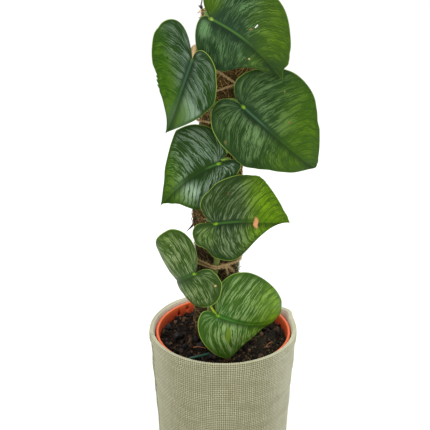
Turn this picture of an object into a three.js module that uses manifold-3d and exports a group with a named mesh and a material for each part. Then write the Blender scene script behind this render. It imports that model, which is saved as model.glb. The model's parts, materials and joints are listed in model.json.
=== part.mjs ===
// Potted monstera dubia: seven overlapping heart leaves on a vine that climbs a coir pole,
// in a plastic nursery pot that stands in a woven fabric cover pot.
// Millimetres, +Z up, origin at the middle of the cover pot's foot. The leaves face -Y.
import * as THREE from "three";
import { mergeVertices } from "three/addons/utils/BufferGeometryUtils.js";
import Module from "manifold-3d";

const wasm = await Module();
wasm.setup();

// Driving dimensions
const touchGap = 0.35; // between pieces that touch

const cover = {
  height: 120,
  footRadius: 58.6,
  footRound: 3,
  topRadius: 65.3,
  wall: 4,
  hemHeight: 9,
  hemProud: 0.6,
  hemRound: 3,
  levels: 3,
  around: 48,
  seams: [
    { angle: 25, spread: 8, proud: 2.4 },
    { angle: 189, spread: 5, proud: 0.5 },
  ],
  seamsFullAt: 72, // the seams bulge fully above this height
};

const nursery = {
  rimTop: 116.2,
  rimRadius: 60,
  rimHeight: 10,
  rimWall: 2.4,
  bodyTopRadius: 57.2,
  footRadius: 44,
  wall: 1.8,
  footInset: 2,
  footRing: 5,
  edge: 0.8,
  around: 40,
  drainRadius: 4,
  drainCircle: 27,
  drainCount: 5,
  hangHoleRadius: 1.4,
  hangHoles: [
    { angle: 126, z: 112.7 },
    { angle: 136.5, z: 109.8 },
  ],
  drillLength: 12,
  drillSides: 10,
};

const soilShape = {
  level: 107.2,
  heap: 4,
  heapReach: 30,
  lump: 0.9,
  hollow: { x: 3, y: -42, depth: 2.6, reach: 20 },
  around: 30,
  rings: 8,
};

const pole = {
  foot: [-8, 8, 108],
  lean: 1.91, // degrees to the right
  coreRadius: 7,
  corePointRadius: 4,
  corePoint: 14,
  coreBottom: -92,
  coreTop: 282,
  coreSides: 16,
  coirRadius: 18.5,
  coirRelief: 0.8,
  coirBottom: -46,
  coirTop: 285,
  around: 20,
  rings: 30,
};
const coirOutside = pole.coirRadius + pole.coirRelief;
// The coir's edge is folded over here and stands proud on the left
const coirFold = { angle: 188, spread: 24, z: 118, reach: 21, proud: 3.4 };

// The vine's way up the front of the pole: height above the pole's foot, and how far right of its axis
const stem = {
  radius: 2.7,
  fromAxis: 20.8,
  path: [
    [-26, -4],
    [10, -4.3],
    [50, -4],
    [82, -0.3],
    [114, 1.1],
    [150, 1.4],
    [168, 0.8],
    [203, -6.8],
    [231, -13.2],
    [261, -13.8],
    [281, -10.9],
    [291, -8.6],
  ],
  sides: 8,
  steps: 34,
  nodeProud: 0.5,
  nodeReach: 3,
  tipLength: 12,
  tipRadius: 0.8,
  youngSlimmer: 0.18,
};

// Clinging roots: height where each leaves the vine, and its side, right or left
const root = { radius: 0.8, tipRadius: 0.4, sweep: 46, drop: 6, bends: 3, sides: 5, steps: 4 };
const roots = [
  [22, -1], [38, 1], [60, -1], [62, 1], [106, 1], [121, -1],
  [144, 1], [162, -1], [184, 1], [196, -1], [266, 1],
];

// One half of a blade: its width, how far its lobe reaches back past the notch, where it is widest,
// how far its shoulder stays wide, how far from the tip and how full it still is there, and how far
// its side of the notch stands off the midrib's line.
function half(width, lobe, widest, shoulder, tip, fullness, notch) {
  return { width, lobe, widest, shoulder, tip, fullness, notch };
}

// Each leaf: where the petiole meets the blade, then angles in degrees and lengths in mm.
// aim is the midrib's direction on the face, sweep its bend in the face, dip and curl its bend
// out of the face, and roll how far the upper and lower halves turn back. node is the height of its
// node on the vine.
const leaves = [
  {
    name: "leaf_1", side: 1, sinus: [-5, -36.5, 149.1], length: 88, aim: -27.2, sweep: -20.9,
    dip: 14.7, curl: 57.3, back: 10, yaw: 5, pitch: 15, roll: [14, 3],
    upper: half(43.5, 15.3, 16.6, 0.47, 0.04, 0.42, 15.3),
    lower: half(34, 19.6, 25.8, 0.05, 0.85, 0, -9.7),
    node: 52, petiole: [[-10.5, -21, 163], [-9, -31, 157]],
  },
  {
    name: "leaf_2", side: -1, sinus: [-24, -32.7, 186], length: 56.2, aim: -148.5, sweep: 6.1,
    dip: 6.4, curl: 113.2, back: 10, yaw: -11, pitch: 8, roll: [2.5, 10],
    upper: half(42.5, 14.1, 1.3, 0.63, 0.17, 0.14, 13),
    lower: half(30.7, 20.5, 0.9, 0.38, 0.3, 0.25, -5.8),
    node: 95, petiole: [[-15, -21, 205], [-24, -28, 197]],
  },
  {
    name: "leaf_3", side: 1, sinus: [-6.9, -28.8, 228.8], length: 62.1, aim: 7.1, sweep: 18.9,
    dip: -10, curl: 20, back: 8, yaw: 9, pitch: 5.5, roll: [12, 16],
    upper: half(39.5, 13.5, 33, 0.05, 0.3, 0.31, 12.1),
    lower: half(34.6, 24.7, 10.1, 0.34, 0.46, 0, -14),
    node: 118, petiole: [[-9, -20.5, 229], [-13.5, -25.5, 231]],
  },
  {
    name: "leaf_4", side: -1, sinus: [-4.1, -19, 276.6], length: 64.2, aim: -160.7, sweep: 38,
    dip: -6.5, curl: 24, back: 8, yaw: -6, pitch: 4.5, roll: [12, 16],
    upper: half(38.2, 12.1, 17.3, 0.05, 0.43, 0.1, 5.8),
    lower: half(27.1, 23.4, 37.3, 0.53, 0.65, 0.19, -7.1),
    node: 172, petiole: [[1.5, -18, 284.5], [2, -18.2, 281]],
  },
  {
    name: "leaf_5", side: 1, sinus: [14.5, -22.5, 323.5], length: 93.3, aim: -43.3, sweep: -5.4,
    dip: -8, curl: 46, back: 8, yaw: 10, pitch: 4.5, roll: [16, 14],
    upper: half(47.1, 23.1, 24.9, 0.39, 0.19, 0.23, -2.6),
    lower: half(35.8, 23.4, 22.9, 0.24, 0.14, 0.19, 0.5),
    node: 216, petiole: [[-5, -20, 326.5], [7, -19.5, 328.5]],
  },
  {
    name: "leaf_6", side: -1, sinus: [-24.3, -27.3, 360.6], length: 61.5, aim: -108.1, sweep: -3.8,
    dip: -5, curl: 8, back: 16, yaw: -19, pitch: 4, roll: [16, 10],
    upper: half(36.6, 25.1, -7.8, 0.48, 0.42, 0.09, 14.2),
    lower: half(26.9, 13.1, 24.5, 0.36, 0.08, 0.01, -3.3),
    node: 261, petiole: [[-17.5, -15.5, 370], [-23, -21.5, 367.5]],
  },
  {
    name: "leaf_7", side: 1, sinus: [-10.3, -24, 390.1], length: 73.8, aim: -26, sweep: 27.6,
    dip: -10, curl: 28, back: 8, yaw: 6, pitch: 5.5, roll: [16, 22],
    upper: half(42.3, 15.1, 10.4, 0.69, 0.09, 0, 8.9),
    lower: half(31.9, 11, 14.1, 0.56, 0.9, 0.67, -7.4),
    node: 281, petiole: [[-13, -18, 394], [-14.5, -21.5, 394]],
  },
];

// How strongly a lobe's outline pulls back from the notch, starts outward, and rounds to the widest place
const margin = { pullBack: 1.45, startOut: 0.05, round: 0.85 };

const blade = {
  thickness: 0.9,
  rays: 18, // rays from the midrib to the margin on each half
  rows: 3, // rows from the midrib out to the margin
  lobeShare: 0.35, // share of the margin whose rays start at the notch
  groove: 1.5,
  grooveReach: 6,
  pleat: 0.2,
  wave: 0.45,
  waves: 2.5,
};
const midrib = {
  petioleRadius: 1.45,
  radius: 1.1,
  tipRadius: 0.45,
  petioleShare: 0.22, // the petiole's share of the whole run from the vine to the midrib's end
  collar: 2, // how far the petiole leaves the vine straight
  sunk: 0.65, // share of the midrib's radius that lies in the blade
  stations: [0.01, 0.1, 0.25, 0.45, 0.65, 0.8], // along the blade
  sides: 6,
  steps: 16,
};

const twine = { radius: 1.1, sides: 5, around: 26 };
// A knot and its two tails, the second one shorter
const knot = {
  radius: 2.3,
  flat: 0.8,
  tailLengths: [9, 3.6],
  tailDrop: 5,
  tailOff: 0.6,
  tailRadius: 0.9,
  tailTip: 0.5,
};
// Each loop: height above the pole's foot, and how much higher it lies at the right
const ties = [
  { name: "tie_1", loops: [{ z: 75.5, right: 1.4 }], knotAngle: -74 },
  { name: "tie_2", loops: [{ z: 238, right: -14 }, { z: 228, right: 7 }], knotAngle: 60 },
  { name: "tie_3", loops: [{ z: 204, right: 5.5 }], knotAngle: 70 },
];
const wire = {
  radius: 0.6,
  z: 279.5,
  right: 1.5,
  sides: 4,
  around: 26,
  twistAngle: 190,
  twistHeight: 9,
  twistLean: 2.5,
  knobRadius: 1.9,
  knobDrop: 1.5,
};
const stake = { at: [-20, -38], turn: 34, length: 26, width: 3.2, thick: 1.8, z: 108.4 };

const degrees = Math.PI / 180;

// Closed meshes and solids

function cleanGeometry(geometry) {
  const bare = new THREE.BufferGeometry();
  bare.setAttribute("position", geometry.getAttribute("position"));
  bare.setIndex(geometry.index);
  const merged = mergeVertices(bare, 1e-4);
  const index = Array.from(merged.index.array);
  const kept = [];
  for (let i = 0; i < index.length; i += 3) {
    const [a, b, c] = index.slice(i, i + 3);
    if (a !== b && b !== c && c !== a) kept.push(a, b, c);
  }
  merged.setIndex(kept);
  return facingOut(merged);
}

function facingOut(geometry) {
  const position = geometry.getAttribute("position");
  const index = geometry.index.array;
  const corner = [new THREE.Vector3(), new THREE.Vector3(), new THREE.Vector3()];
  let volume = 0;
  for (let i = 0; i < index.length; i += 3) {
    for (let k = 0; k < 3; k++) corner[k].fromBufferAttribute(position, index[i + k]);
    volume += corner[0].dot(corner[1].clone().cross(corner[2]));
  }
  if (volume < 0) {
    for (let i = 0; i < index.length; i += 3) {
      const swap = index[i + 1];
      index[i + 1] = index[i + 2];
      index[i + 2] = swap;
    }
  }
  return geometry;
}

function meshOf(points, triangles) {
  const geometry = new THREE.BufferGeometry().setFromPoints(points);
  geometry.setIndex(triangles);
  return cleanGeometry(geometry);
}

function solidOf(geometry) {
  const clean = cleanGeometry(geometry);
  const vertProperties = new Float32Array(clean.getAttribute("position").array);
  const triVerts = new Uint32Array(clean.index.array);
  return new wasm.Manifold(new wasm.Mesh({ numProp: 3, vertProperties, triVerts }));
}

function geometryOf(solid) {
  const mesh = solid.getMesh();
  const geometry = new THREE.BufferGeometry();
  geometry.setAttribute("position", new THREE.BufferAttribute(new Float32Array(mesh.vertProperties), 3));
  geometry.setIndex(Array.from(mesh.triVerts));
  return geometry;
}

function joined(first, ...others) {
  return geometryOf(others.reduce((body, other) => body.add(solidOf(other)), solidOf(first)));
}

function cut(first, ...tools) {
  return geometryOf(tools.reduce((body, tool) => body.subtract(solidOf(tool)), solidOf(first)));
}

// A turned shell from [radius, height] points that start and end on the axis
function turned(profile, around) {
  const points = profile.map(([radius, z]) => new THREE.Vector2(radius, z));
  return new THREE.LatheGeometry(points, around).rotateX(Math.PI / 2);
}

// A tube of changing radius along a curve, closed at both ends
function taperedTube(curve, steps, sides, radiusAt) {
  const frames = curve.computeFrenetFrames(steps, false);
  const points = [];
  const triangles = [];
  for (let i = 0; i <= steps; i++) {
    const centre = curve.getPointAt(i / steps);
    const radius = radiusAt(i / steps);
    for (let k = 0; k < sides; k++) {
      const angle = (2 * Math.PI * k) / sides;
      const across = frames.normals[i].clone().multiplyScalar(radius * Math.cos(angle));
      const over = frames.binormals[i].clone().multiplyScalar(radius * Math.sin(angle));
      points.push(centre.clone().add(across).add(over));
    }
  }
  for (let i = 0; i < steps; i++) {
    for (let k = 0; k < sides; k++) {
      const a = i * sides + k;
      const b = i * sides + ((k + 1) % sides);
      triangles.push(a, b, a + sides, b, b + sides, a + sides);
    }
  }
  for (const [ring, flip] of [[0, true], [steps, false]]) {
    const centre = points.length;
    points.push(curve.getPointAt(ring / steps));
    for (let k = 0; k < sides; k++) {
      const a = ring * sides + k;
      const b = ring * sides + ((k + 1) % sides);
      triangles.push(...(flip ? [centre, b, a] : [centre, a, b]));
    }
  }
  return meshOf(points, triangles);
}

// Cover pot

function coverRadius(z) {
  return cover.footRadius + ((cover.topRadius - cover.footRadius) * z) / cover.height;
}

function seamBulge(angle, z) {
  let bulge = 0;
  for (const seam of cover.seams) {
    const away = Math.abs(((angle - seam.angle + 540) % 360) - 180);
    bulge += seam.proud * Math.exp(-((away / seam.spread) ** 2));
  }
  return bulge * Math.min(1, z / cover.seamsFullAt);
}

// Evenly spaced points up the wall, moved in by an amount
function wallPoints(from, to, inward) {
  const points = [];
  for (let i = 0; i <= cover.levels; i++) {
    const z = THREE.MathUtils.lerp(from, to, i / cover.levels);
    points.push([coverRadius(z) - inward, z]);
  }
  return points;
}

// The folded hem stands proud of the wall on both sides and is round on top
function hemPoints() {
  const { height, wall, hemHeight, hemProud, hemRound } = cover;
  const middle = coverRadius(height) - wall / 2;
  const reach = wall / 2 + hemProud;
  const bends = 6;
  const points = [[middle + reach, height - hemHeight]];
  for (let i = 0; i <= bends; i++) {
    const turn = (Math.PI * i) / bends;
    points.push([middle + reach * Math.cos(turn), height - hemRound * (1 - Math.sin(turn))]);
  }
  return [...points, [middle - reach, height - hemHeight]];
}

function coverPot() {
  const { height, wall, hemHeight, hemProud, footRadius, footRound } = cover;
  const underHem = height - hemHeight - hemProud;
  const profile = [
    [0, 0],
    [footRadius - footRound, 0],
    ...wallPoints(footRound, underHem, 0),
    ...hemPoints(),
    ...wallPoints(underHem, wall + footRound, wall),
    [footRadius - wall - footRound, wall],
    [0, wall],
  ];
  const shell = cleanGeometry(turned(profile, cover.around));
  const position = shell.getAttribute("position");
  for (let i = 0; i < position.count; i++) {
    const [x, y, z] = [position.getX(i), position.getY(i), position.getZ(i)];
    const radius = Math.hypot(x, y);
    if (radius < 1) continue;
    const angle = Math.atan2(y, x) / degrees;
    const stretch = 1 + seamBulge(angle, z) / radius;
    position.setXY(i, x * stretch, y * stretch);
  }
  return shell;
}

// Nursery pot, standing on the cover pot's base

const nurseryFoot = cover.wall + touchGap;
const nurseryShoulder = nursery.rimTop - nursery.rimHeight;

function nurseryInside(z) {
  const share = (z - nurseryFoot) / (nursery.rimTop - nurseryFoot);
  const rise = nursery.rimRadius - nursery.rimWall - (nursery.footRadius - nursery.wall);
  return nursery.footRadius - nursery.wall + rise * share;
}

function nurseryPot() {
  const { rimTop, rimRadius, rimWall, bodyTopRadius, footRadius, footInset, footRing, wall, edge } = nursery;
  const base = nurseryFoot + footInset;
  const profile = [
    [0, base],
    [footRadius - footRing - edge, base],
    [footRadius - footRing, nurseryFoot],
    [footRadius, nurseryFoot],
    [bodyTopRadius, nurseryShoulder - edge],
    [rimRadius - edge, nurseryShoulder],
    [rimRadius, rimTop - edge],
    [rimRadius - edge, rimTop],
    [rimRadius - rimWall + edge, rimTop],
    [rimRadius - rimWall, rimTop - edge],
    [nurseryInside(base + wall), base + wall],
    [0, base + wall],
  ];
  const holes = [];
  for (let i = 0; i < nursery.drainCount; i++) {
    const turn = (2 * Math.PI * i) / nursery.drainCount;
    const hole = drill(nursery.drainRadius).rotateX(Math.PI / 2);
    holes.push(hole.translate(nursery.drainCircle, 0, base).rotateZ(turn));
  }
  for (const { angle, z } of nursery.hangHoles) {
    const hole = drill(nursery.hangHoleRadius).rotateZ(-Math.PI / 2);
    holes.push(hole.translate(nurseryInside(z), 0, z).rotateZ(angle * degrees));
  }
  return cut(turned(profile, nursery.around), ...holes);
}

function drill(radius) {
  return new THREE.CylinderGeometry(radius, radius, nursery.drillLength, nursery.drillSides);
}

// The leaning pole has a frame of its own: origin at its foot on the soil, z along the pole

const poleGroup = new THREE.Group();
poleGroup.position.set(...pole.foot);
poleGroup.rotation.y = pole.lean * degrees;
poleGroup.updateMatrixWorld(true);
const poleToWorld = poleGroup.matrixWorld.clone();

function poleCore() {
  const { coreRadius, corePointRadius, corePoint, coreBottom, coreTop, coreSides } = pole;
  const profile = [
    [0, coreBottom],
    [corePointRadius, coreBottom],
    [coreRadius, coreBottom + corePoint],
    [coreRadius, coreTop],
    [0, coreTop],
  ];
  return cleanGeometry(turned(profile, coreSides));
}

// Three sets of low ridges cross each other round the coir
function coirRadiusAt(angle, z) {
  const steep = Math.sin(5 * angle + z * 0.11);
  const crossing = 0.8 * Math.sin(3 * angle - z * 0.19 + 1);
  const short = 0.7 * Math.sin(z * 0.43 + 2 * angle);
  const ridges = (steep + crossing + short) / 2.5;
  const away = (angle / degrees - coirFold.angle) / coirFold.spread;
  const fold = coirFold.proud * Math.exp(-(away ** 2) - ((z - coirFold.z) / coirFold.reach) ** 2);
  return pole.coirRadius + pole.coirRelief * ridges + fold;
}

function poleCoir() {
  const { around, rings, coirBottom, coirTop, coreRadius } = pole;
  const points = [];
  const triangles = [];
  const rows = [];
  for (let i = 0; i <= rings; i++) {
    rows.push({ z: THREE.MathUtils.lerp(coirBottom, coirTop, i / rings), outer: true });
  }
  rows.push({ z: coirTop, outer: false }, { z: coirBottom, outer: false });
  for (const { z, outer } of rows) {
    for (let k = 0; k < around; k++) {
      const angle = (2 * Math.PI * k) / around;
      const radius = outer ? coirRadiusAt(angle, z) : coreRadius + touchGap;
      points.push(new THREE.Vector3(radius * Math.cos(angle), radius * Math.sin(angle), z));
    }
  }
  for (let i = 0; i < rows.length; i++) {
    const next = (i + 1) % rows.length;
    for (let k = 0; k < around; k++) {
      const [a, b] = [i * around + k, i * around + ((k + 1) % around)];
      const [c, d] = [next * around + k, next * around + ((k + 1) % around)];
      triangles.push(a, b, c, b, d, c);
    }
  }
  return cut(meshOf(points, triangles), stemTube(touchGap));
}

// The vine, pressed a little into the coir

function stemPoint(z) {
  const path = stem.path;
  let i = 1;
  while (i < path.length - 1 && z > path[i][0]) i++;
  const share = (z - path[i - 1][0]) / (path[i][0] - path[i - 1][0]);
  const right = THREE.MathUtils.lerp(path[i - 1][1], path[i][1], THREE.MathUtils.clamp(share, 0, 1));
  return new THREE.Vector3(right, -Math.sqrt(stem.fromAxis ** 2 - right ** 2), z);
}

const stemCurve = new THREE.CatmullRomCurve3(stem.path.map(([z]) => stemPoint(z)));

// The vine is slimmer towards its young end, swells at each node and closes in a small tip
function stemRadiusAt(z) {
  const [bottom, top] = [stem.path[0][0], stem.path.at(-1)[0]];
  const tip = THREE.MathUtils.clamp((top - z) / stem.tipLength, 0, 1);
  const slim = THREE.MathUtils.lerp(stem.tipRadius, stem.radius, Math.sqrt(tip));
  const young = 1 - stem.youngSlimmer * ((z - bottom) / (top - bottom));
  const swell = leaves.reduce((sum, leaf) => sum + Math.exp(-(((z - leaf.node) / stem.nodeReach) ** 2)), 0);
  return slim * young + stem.nodeProud * Math.min(swell, 1) * tip;
}

function stemTube(grown) {
  const radiusAt = (share) => stemRadiusAt(stemCurve.getPointAt(share).z) + grown;
  return taperedTube(stemCurve, stem.steps, stem.sides, radiusAt);
}

// A clinging root hugs the coir on one side of the vine
function clingingRoot(height, side) {
  const start = stemPoint(height);
  const startAngle = Math.atan2(start.y, start.x);
  const clear = coirOutside + touchGap + root.radius;
  const points = [start];
  for (let i = 1; i <= root.bends; i++) {
    const angle = startAngle + (side * root.sweep * degrees * i) / root.bends;
    const z = height - (root.drop * i) / root.bends;
    points.push(new THREE.Vector3(clear * Math.cos(angle), clear * Math.sin(angle), z));
  }
  const curve = new THREE.CatmullRomCurve3(points);
  const radiusAt = (share) => THREE.MathUtils.lerp(root.radius, root.tipRadius, share);
  return taperedTube(curve, root.steps, root.sides, radiusAt);
}

function vine() {
  return joined(stemTube(0), ...roots.map(([height, side]) => clingingRoot(height, side)));
}

// Leaves

function bezier([p0, p1, p2, p3], t) {
  const s = 1 - t;
  return [0, 1].map((k) => s ** 3 * p0[k] + 3 * s * s * t * p1[k] + 3 * s * t * t * p2[k] + t ** 3 * p3[k]);
}

// The margin of one half, from the notch (share 0) by the widest place (0.5) to the tip (1)
function marginPoint(leaf, side, share) {
  const { width, lobe, widest, shoulder, tip, fullness, notch } = side > 0 ? leaf.upper : leaf.lower;
  const ahead = leaf.length - widest;
  const lobeArc = [
    [0, 0],
    [-margin.pullBack * lobe, margin.startOut * width + notch],
    [widest - margin.round * (widest + lobe), width],
    [widest, width],
  ];
  const tipArc = [
    [widest, width],
    [widest + shoulder * ahead, width],
    [leaf.length - tip * ahead, fullness * width],
    [leaf.length, 0],
  ];
  const [along, across] = share < 0.5 ? bezier(lobeArc, 2 * share) : bezier(tipArc, 2 * share - 1);
  return [along, side * across];
}

function bendInto(length, curvature, startAngle) {
  const bend = Math.abs(curvature) < 1e-6 ? 1e-6 : curvature;
  const angle = startAngle + bend * length;
  const along = (Math.sin(angle) - Math.sin(startAngle)) / bend;
  const out = (Math.cos(angle) - Math.cos(startAngle)) / bend;
  return { along, out, angle };
}

// Face normal, midrib direction and the direction of the upper half
function leafAxes(leaf) {
  const [yaw, pitch, aim] = [leaf.yaw, leaf.pitch, leaf.aim].map((angle) => angle * degrees);
  const normal = new THREE.Vector3(Math.sin(yaw), -Math.cos(yaw), Math.tan(pitch)).normalize();
  const right = new THREE.Vector3(Math.cos(yaw), Math.sin(yaw), 0);
  const up = normal.clone().cross(right);
  const along = right.clone().multiplyScalar(Math.cos(aim)).addScaledVector(up, Math.sin(aim));
  const across = normal.clone().cross(along).multiplyScalar(leaf.side);
  return { normal, along, across };
}

// A point of the blade: along and across the flat leaf, lifted off its face
function bladePoint(leaf, flatAlong, flatAcross, lift) {
  const { normal, along, across } = leafAxes(leaf);
  const swept = bendInto(flatAlong, (leaf.sweep * degrees) / leaf.length, 0);
  const a = swept.along + flatAcross * Math.sin(swept.angle);
  const b = swept.out + flatAcross * Math.cos(swept.angle);
  const curl = ((a >= 0 ? leaf.curl : leaf.back) * degrees) / leaf.length;
  const arc = bendInto(a, curl, leaf.dip * degrees);
  const [turn, width] = b >= 0 ? [leaf.roll[0], leaf.upper.width] : [leaf.roll[1], leaf.lower.width];
  const rolled = bendInto(Math.abs(b), (turn * degrees) / width, 0);
  const groove = blade.groove * (1 - Math.exp(-((b / blade.grooveReach) ** 2)));
  const bentNormal = normal.clone().multiplyScalar(Math.cos(arc.angle));
  bentNormal.addScaledVector(along, Math.sin(arc.angle));
  const point = new THREE.Vector3(...leaf.sinus);
  point.addScaledVector(along, arc.along).addScaledVector(normal, arc.out);
  point.addScaledVector(across, rolled.along * Math.sign(b));
  return point.addScaledVector(bentNormal, rolled.out + groove + lift);
}

function bladeSurface(leaf, side, ray, row, lift) {
  const share = ray / blade.rays;
  const out = row / blade.rows;
  const foot = leaf.length * THREE.MathUtils.clamp((share - blade.lobeShare) / (1 - blade.lobeShare), 0, 1);
  const [along, across] = marginPoint(leaf, side, share);
  const onEnd = ray === 0 || ray === blade.rays;
  const pleat = onEnd ? 0 : blade.pleat * (ray % 2 ? 1 : -1) * Math.sin(Math.PI * out);
  const swing = Math.sin(2 * Math.PI * blade.waves * share + side) * Math.sin(Math.PI * share);
  const wave = blade.wave * swing * out * out;
  return bladePoint(leaf, foot + (along - foot) * out, across * out, pleat + wave + lift);
}

function bladeMesh(leaf) {
  const points = [];
  const triangles = [];
  const perFace = (blade.rays + 1) * (blade.rows + 1);
  const halfThickness = blade.thickness / 2;
  for (const side of [1, -1]) {
    const first = points.length;
    for (const lift of [halfThickness, -halfThickness]) {
      for (let ray = 0; ray <= blade.rays; ray++) {
        for (let row = 0; row <= blade.rows; row++) points.push(bladeSurface(leaf, side, ray, row, lift));
      }
    }
    const at = (face, ray, row) => first + face * perFace + ray * (blade.rows + 1) + row;
    const add = (a, b, c, flip) => triangles.push(...(flip === side > 0 ? [a, c, b] : [a, b, c]));
    for (let ray = 0; ray < blade.rays; ray++) {
      for (let row = 0; row < blade.rows; row++) {
        for (const face of [0, 1]) {
          add(at(face, ray, row), at(face, ray + 1, row), at(face, ray + 1, row + 1), face === 1);
          add(at(face, ray, row), at(face, ray + 1, row + 1), at(face, ray, row + 1), face === 1);
        }
      }
      const edge = blade.rows;
      add(at(0, ray, edge), at(0, ray + 1, edge), at(1, ray + 1, edge), false);
      add(at(0, ray, edge), at(1, ray + 1, edge), at(1, ray, edge), false);
    }
  }
  return meshOf(points, triangles);
}

// The petiole runs from its node to the notch and on under the blade as the midrib
function petioleAndMidrib(leaf) {
  const node = stemPoint(leaf.node);
  const outward = new THREE.Vector3(node.x, node.y, 0).normalize();
  const seat = stemRadiusAt(leaf.node) + touchGap;
  const start = node.clone().addScaledVector(outward, seat).applyMatrix4(poleToWorld);
  const collar = node.clone().addScaledVector(outward, seat + midrib.collar).applyMatrix4(poleToWorld);
  const way = leaf.petiole.map((point) => new THREE.Vector3(...point));
  const under = -blade.thickness / 2 - (1 - midrib.sunk) * midrib.radius;
  const rib = midrib.stations.map((share) => bladePoint(leaf, leaf.length * share, 0, under));
  const curve = new THREE.CatmullRomCurve3([start, collar, ...way, ...rib]);
  return taperedTube(curve, midrib.steps, midrib.sides, (share) => {
    if (share < midrib.petioleShare) {
      return THREE.MathUtils.lerp(midrib.petioleRadius, midrib.radius, share / midrib.petioleShare);
    }
    const slim = (share - midrib.petioleShare) / (1 - midrib.petioleShare);
    return THREE.MathUtils.lerp(midrib.radius, midrib.tipRadius, slim);
  });
}

// Twine, wire and stake

// The shortest closed loop round the pole and the vine, the cord's own radius off both
function cordLoop(loop, cord) {
  const vineCentre = stemPoint(loop.z);
  const vineAngle = Math.atan2(vineCentre.y, vineCentre.x);
  const poleReach = coirOutside + touchGap + cord.radius;
  const vineReach = stem.radius + stem.nodeProud + touchGap + cord.radius;
  const points = [];
  const triangles = [];
  for (let i = 0; i < cord.around; i++) {
    const angle = (2 * Math.PI * i) / cord.around;
    const outward = new THREE.Vector3(Math.cos(angle), Math.sin(angle), 0);
    const overVine = stem.fromAxis * Math.cos(angle - vineAngle) + vineReach > poleReach;
    const centre = overVine ? new THREE.Vector3(vineCentre.x, vineCentre.y, 0) : new THREE.Vector3();
    centre.addScaledVector(outward, overVine ? vineReach : poleReach);
    centre.z = loop.z + (loop.right * centre.x) / poleReach;
    for (let k = 0; k < cord.sides; k++) {
      const turn = (2 * Math.PI * k) / cord.sides;
      const point = centre.clone().addScaledVector(outward, cord.radius * Math.cos(turn));
      points.push(point.setZ(centre.z + cord.radius * Math.sin(turn)));
      const [next, around] = [(i + 1) % cord.around, (k + 1) % cord.sides];
      const [a, b] = [i * cord.sides + k, i * cord.sides + around];
      const [c, d] = [next * cord.sides + k, next * cord.sides + around];
      triangles.push(a, c, b, b, c, d);
    }
  }
  return meshOf(points, triangles);
}

function twineTie(tie) {
  const loops = tie.loops.map((loop) => cordLoop(loop, twine));
  const angle = tie.knotAngle * degrees;
  const reach = coirOutside + touchGap + knot.radius;
  const loop = tie.loops[0];
  const knotZ = loop.z + loop.right * Math.cos(angle);
  const onPole = (turn, off, drop) => {
    return new THREE.Vector3((reach + off) * Math.cos(turn), (reach + off) * Math.sin(turn), knotZ - drop);
  };
  const heart = onPole(angle, 0, 0);
  const ball = new THREE.IcosahedronGeometry(knot.radius, 1).scale(1, 1, knot.flat);
  ball.translate(heart.x, heart.y, heart.z);
  const tails = knot.tailLengths.map((length) => {
    const swing = length / reach;
    const middle = onPole(angle + swing / 2, knot.tailOff, knot.tailDrop / 2);
    const end = onPole(angle + swing, knot.tailOff, knot.tailDrop);
    const radiusAt = (share) => THREE.MathUtils.lerp(knot.tailRadius, knot.tailTip, share);
    return taperedTube(new THREE.CatmullRomCurve3([heart, middle, end]), 3, twine.sides, radiusAt);
  });
  return joined(loops[0], ...loops.slice(1), ball, ...tails);
}

function wireTie() {
  const loop = cordLoop({ z: wire.z, right: wire.right }, wire);
  const angle = wire.twistAngle * degrees;
  const reach = coirOutside + touchGap + wire.knobRadius;
  const foot = new THREE.Vector3(reach * Math.cos(angle), reach * Math.sin(angle), wire.z - wire.knobDrop);
  const knob = new THREE.IcosahedronGeometry(wire.knobRadius, 1).translate(foot.x, foot.y, foot.z);
  const bend = foot.clone().add(new THREE.Vector3(wire.twistLean / 6, 0, wire.twistHeight / 2));
  const end = foot.clone().add(new THREE.Vector3(wire.twistLean, 0, wire.twistHeight));
  const curve = new THREE.CatmullRomCurve3([foot, bend, end]);
  return joined(loop, knob, taperedTube(curve, 4, wire.sides, () => wire.radius));
}

function stakeBox(grown) {
  const box = new THREE.BoxGeometry(stake.length + grown, stake.width + grown, stake.thick + grown);
  return box.rotateZ(stake.turn * degrees).translate(stake.at[0], stake.at[1], stake.z);
}

// Soil, filled to the nursery pot's wall, with plain holes for the pole and the vine

function soilHeight(x, y) {
  const toPole = Math.hypot(x - pole.foot[0], y - pole.foot[1]);
  const { hollow } = soilShape;
  const toHollow = Math.hypot(x - hollow.x, y - hollow.y);
  const broad = Math.sin(0.31 * x + 0.9) * Math.cos(0.27 * y - 0.4);
  const fine = 0.6 * Math.sin(0.52 * (x + y)) * Math.cos(0.45 * (x - y) + 1.3);
  const heap = soilShape.heap * Math.exp(-((toPole / soilShape.heapReach) ** 2));
  const dip = hollow.depth * Math.exp(-((toHollow / hollow.reach) ** 2));
  return soilShape.level + heap - dip + soilShape.lump * (broad + fine);
}

// A round hole along the pole's axis, from a depth up past the top of the soil
function holeInSoil(radius, bottom) {
  const top = 3 * soilShape.heap;
  const hole = new THREE.CylinderGeometry(radius, radius, top - bottom, soilShape.around);
  return hole.rotateX(Math.PI / 2).translate(0, 0, (top + bottom) / 2).applyMatrix4(poleToWorld);
}

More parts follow.
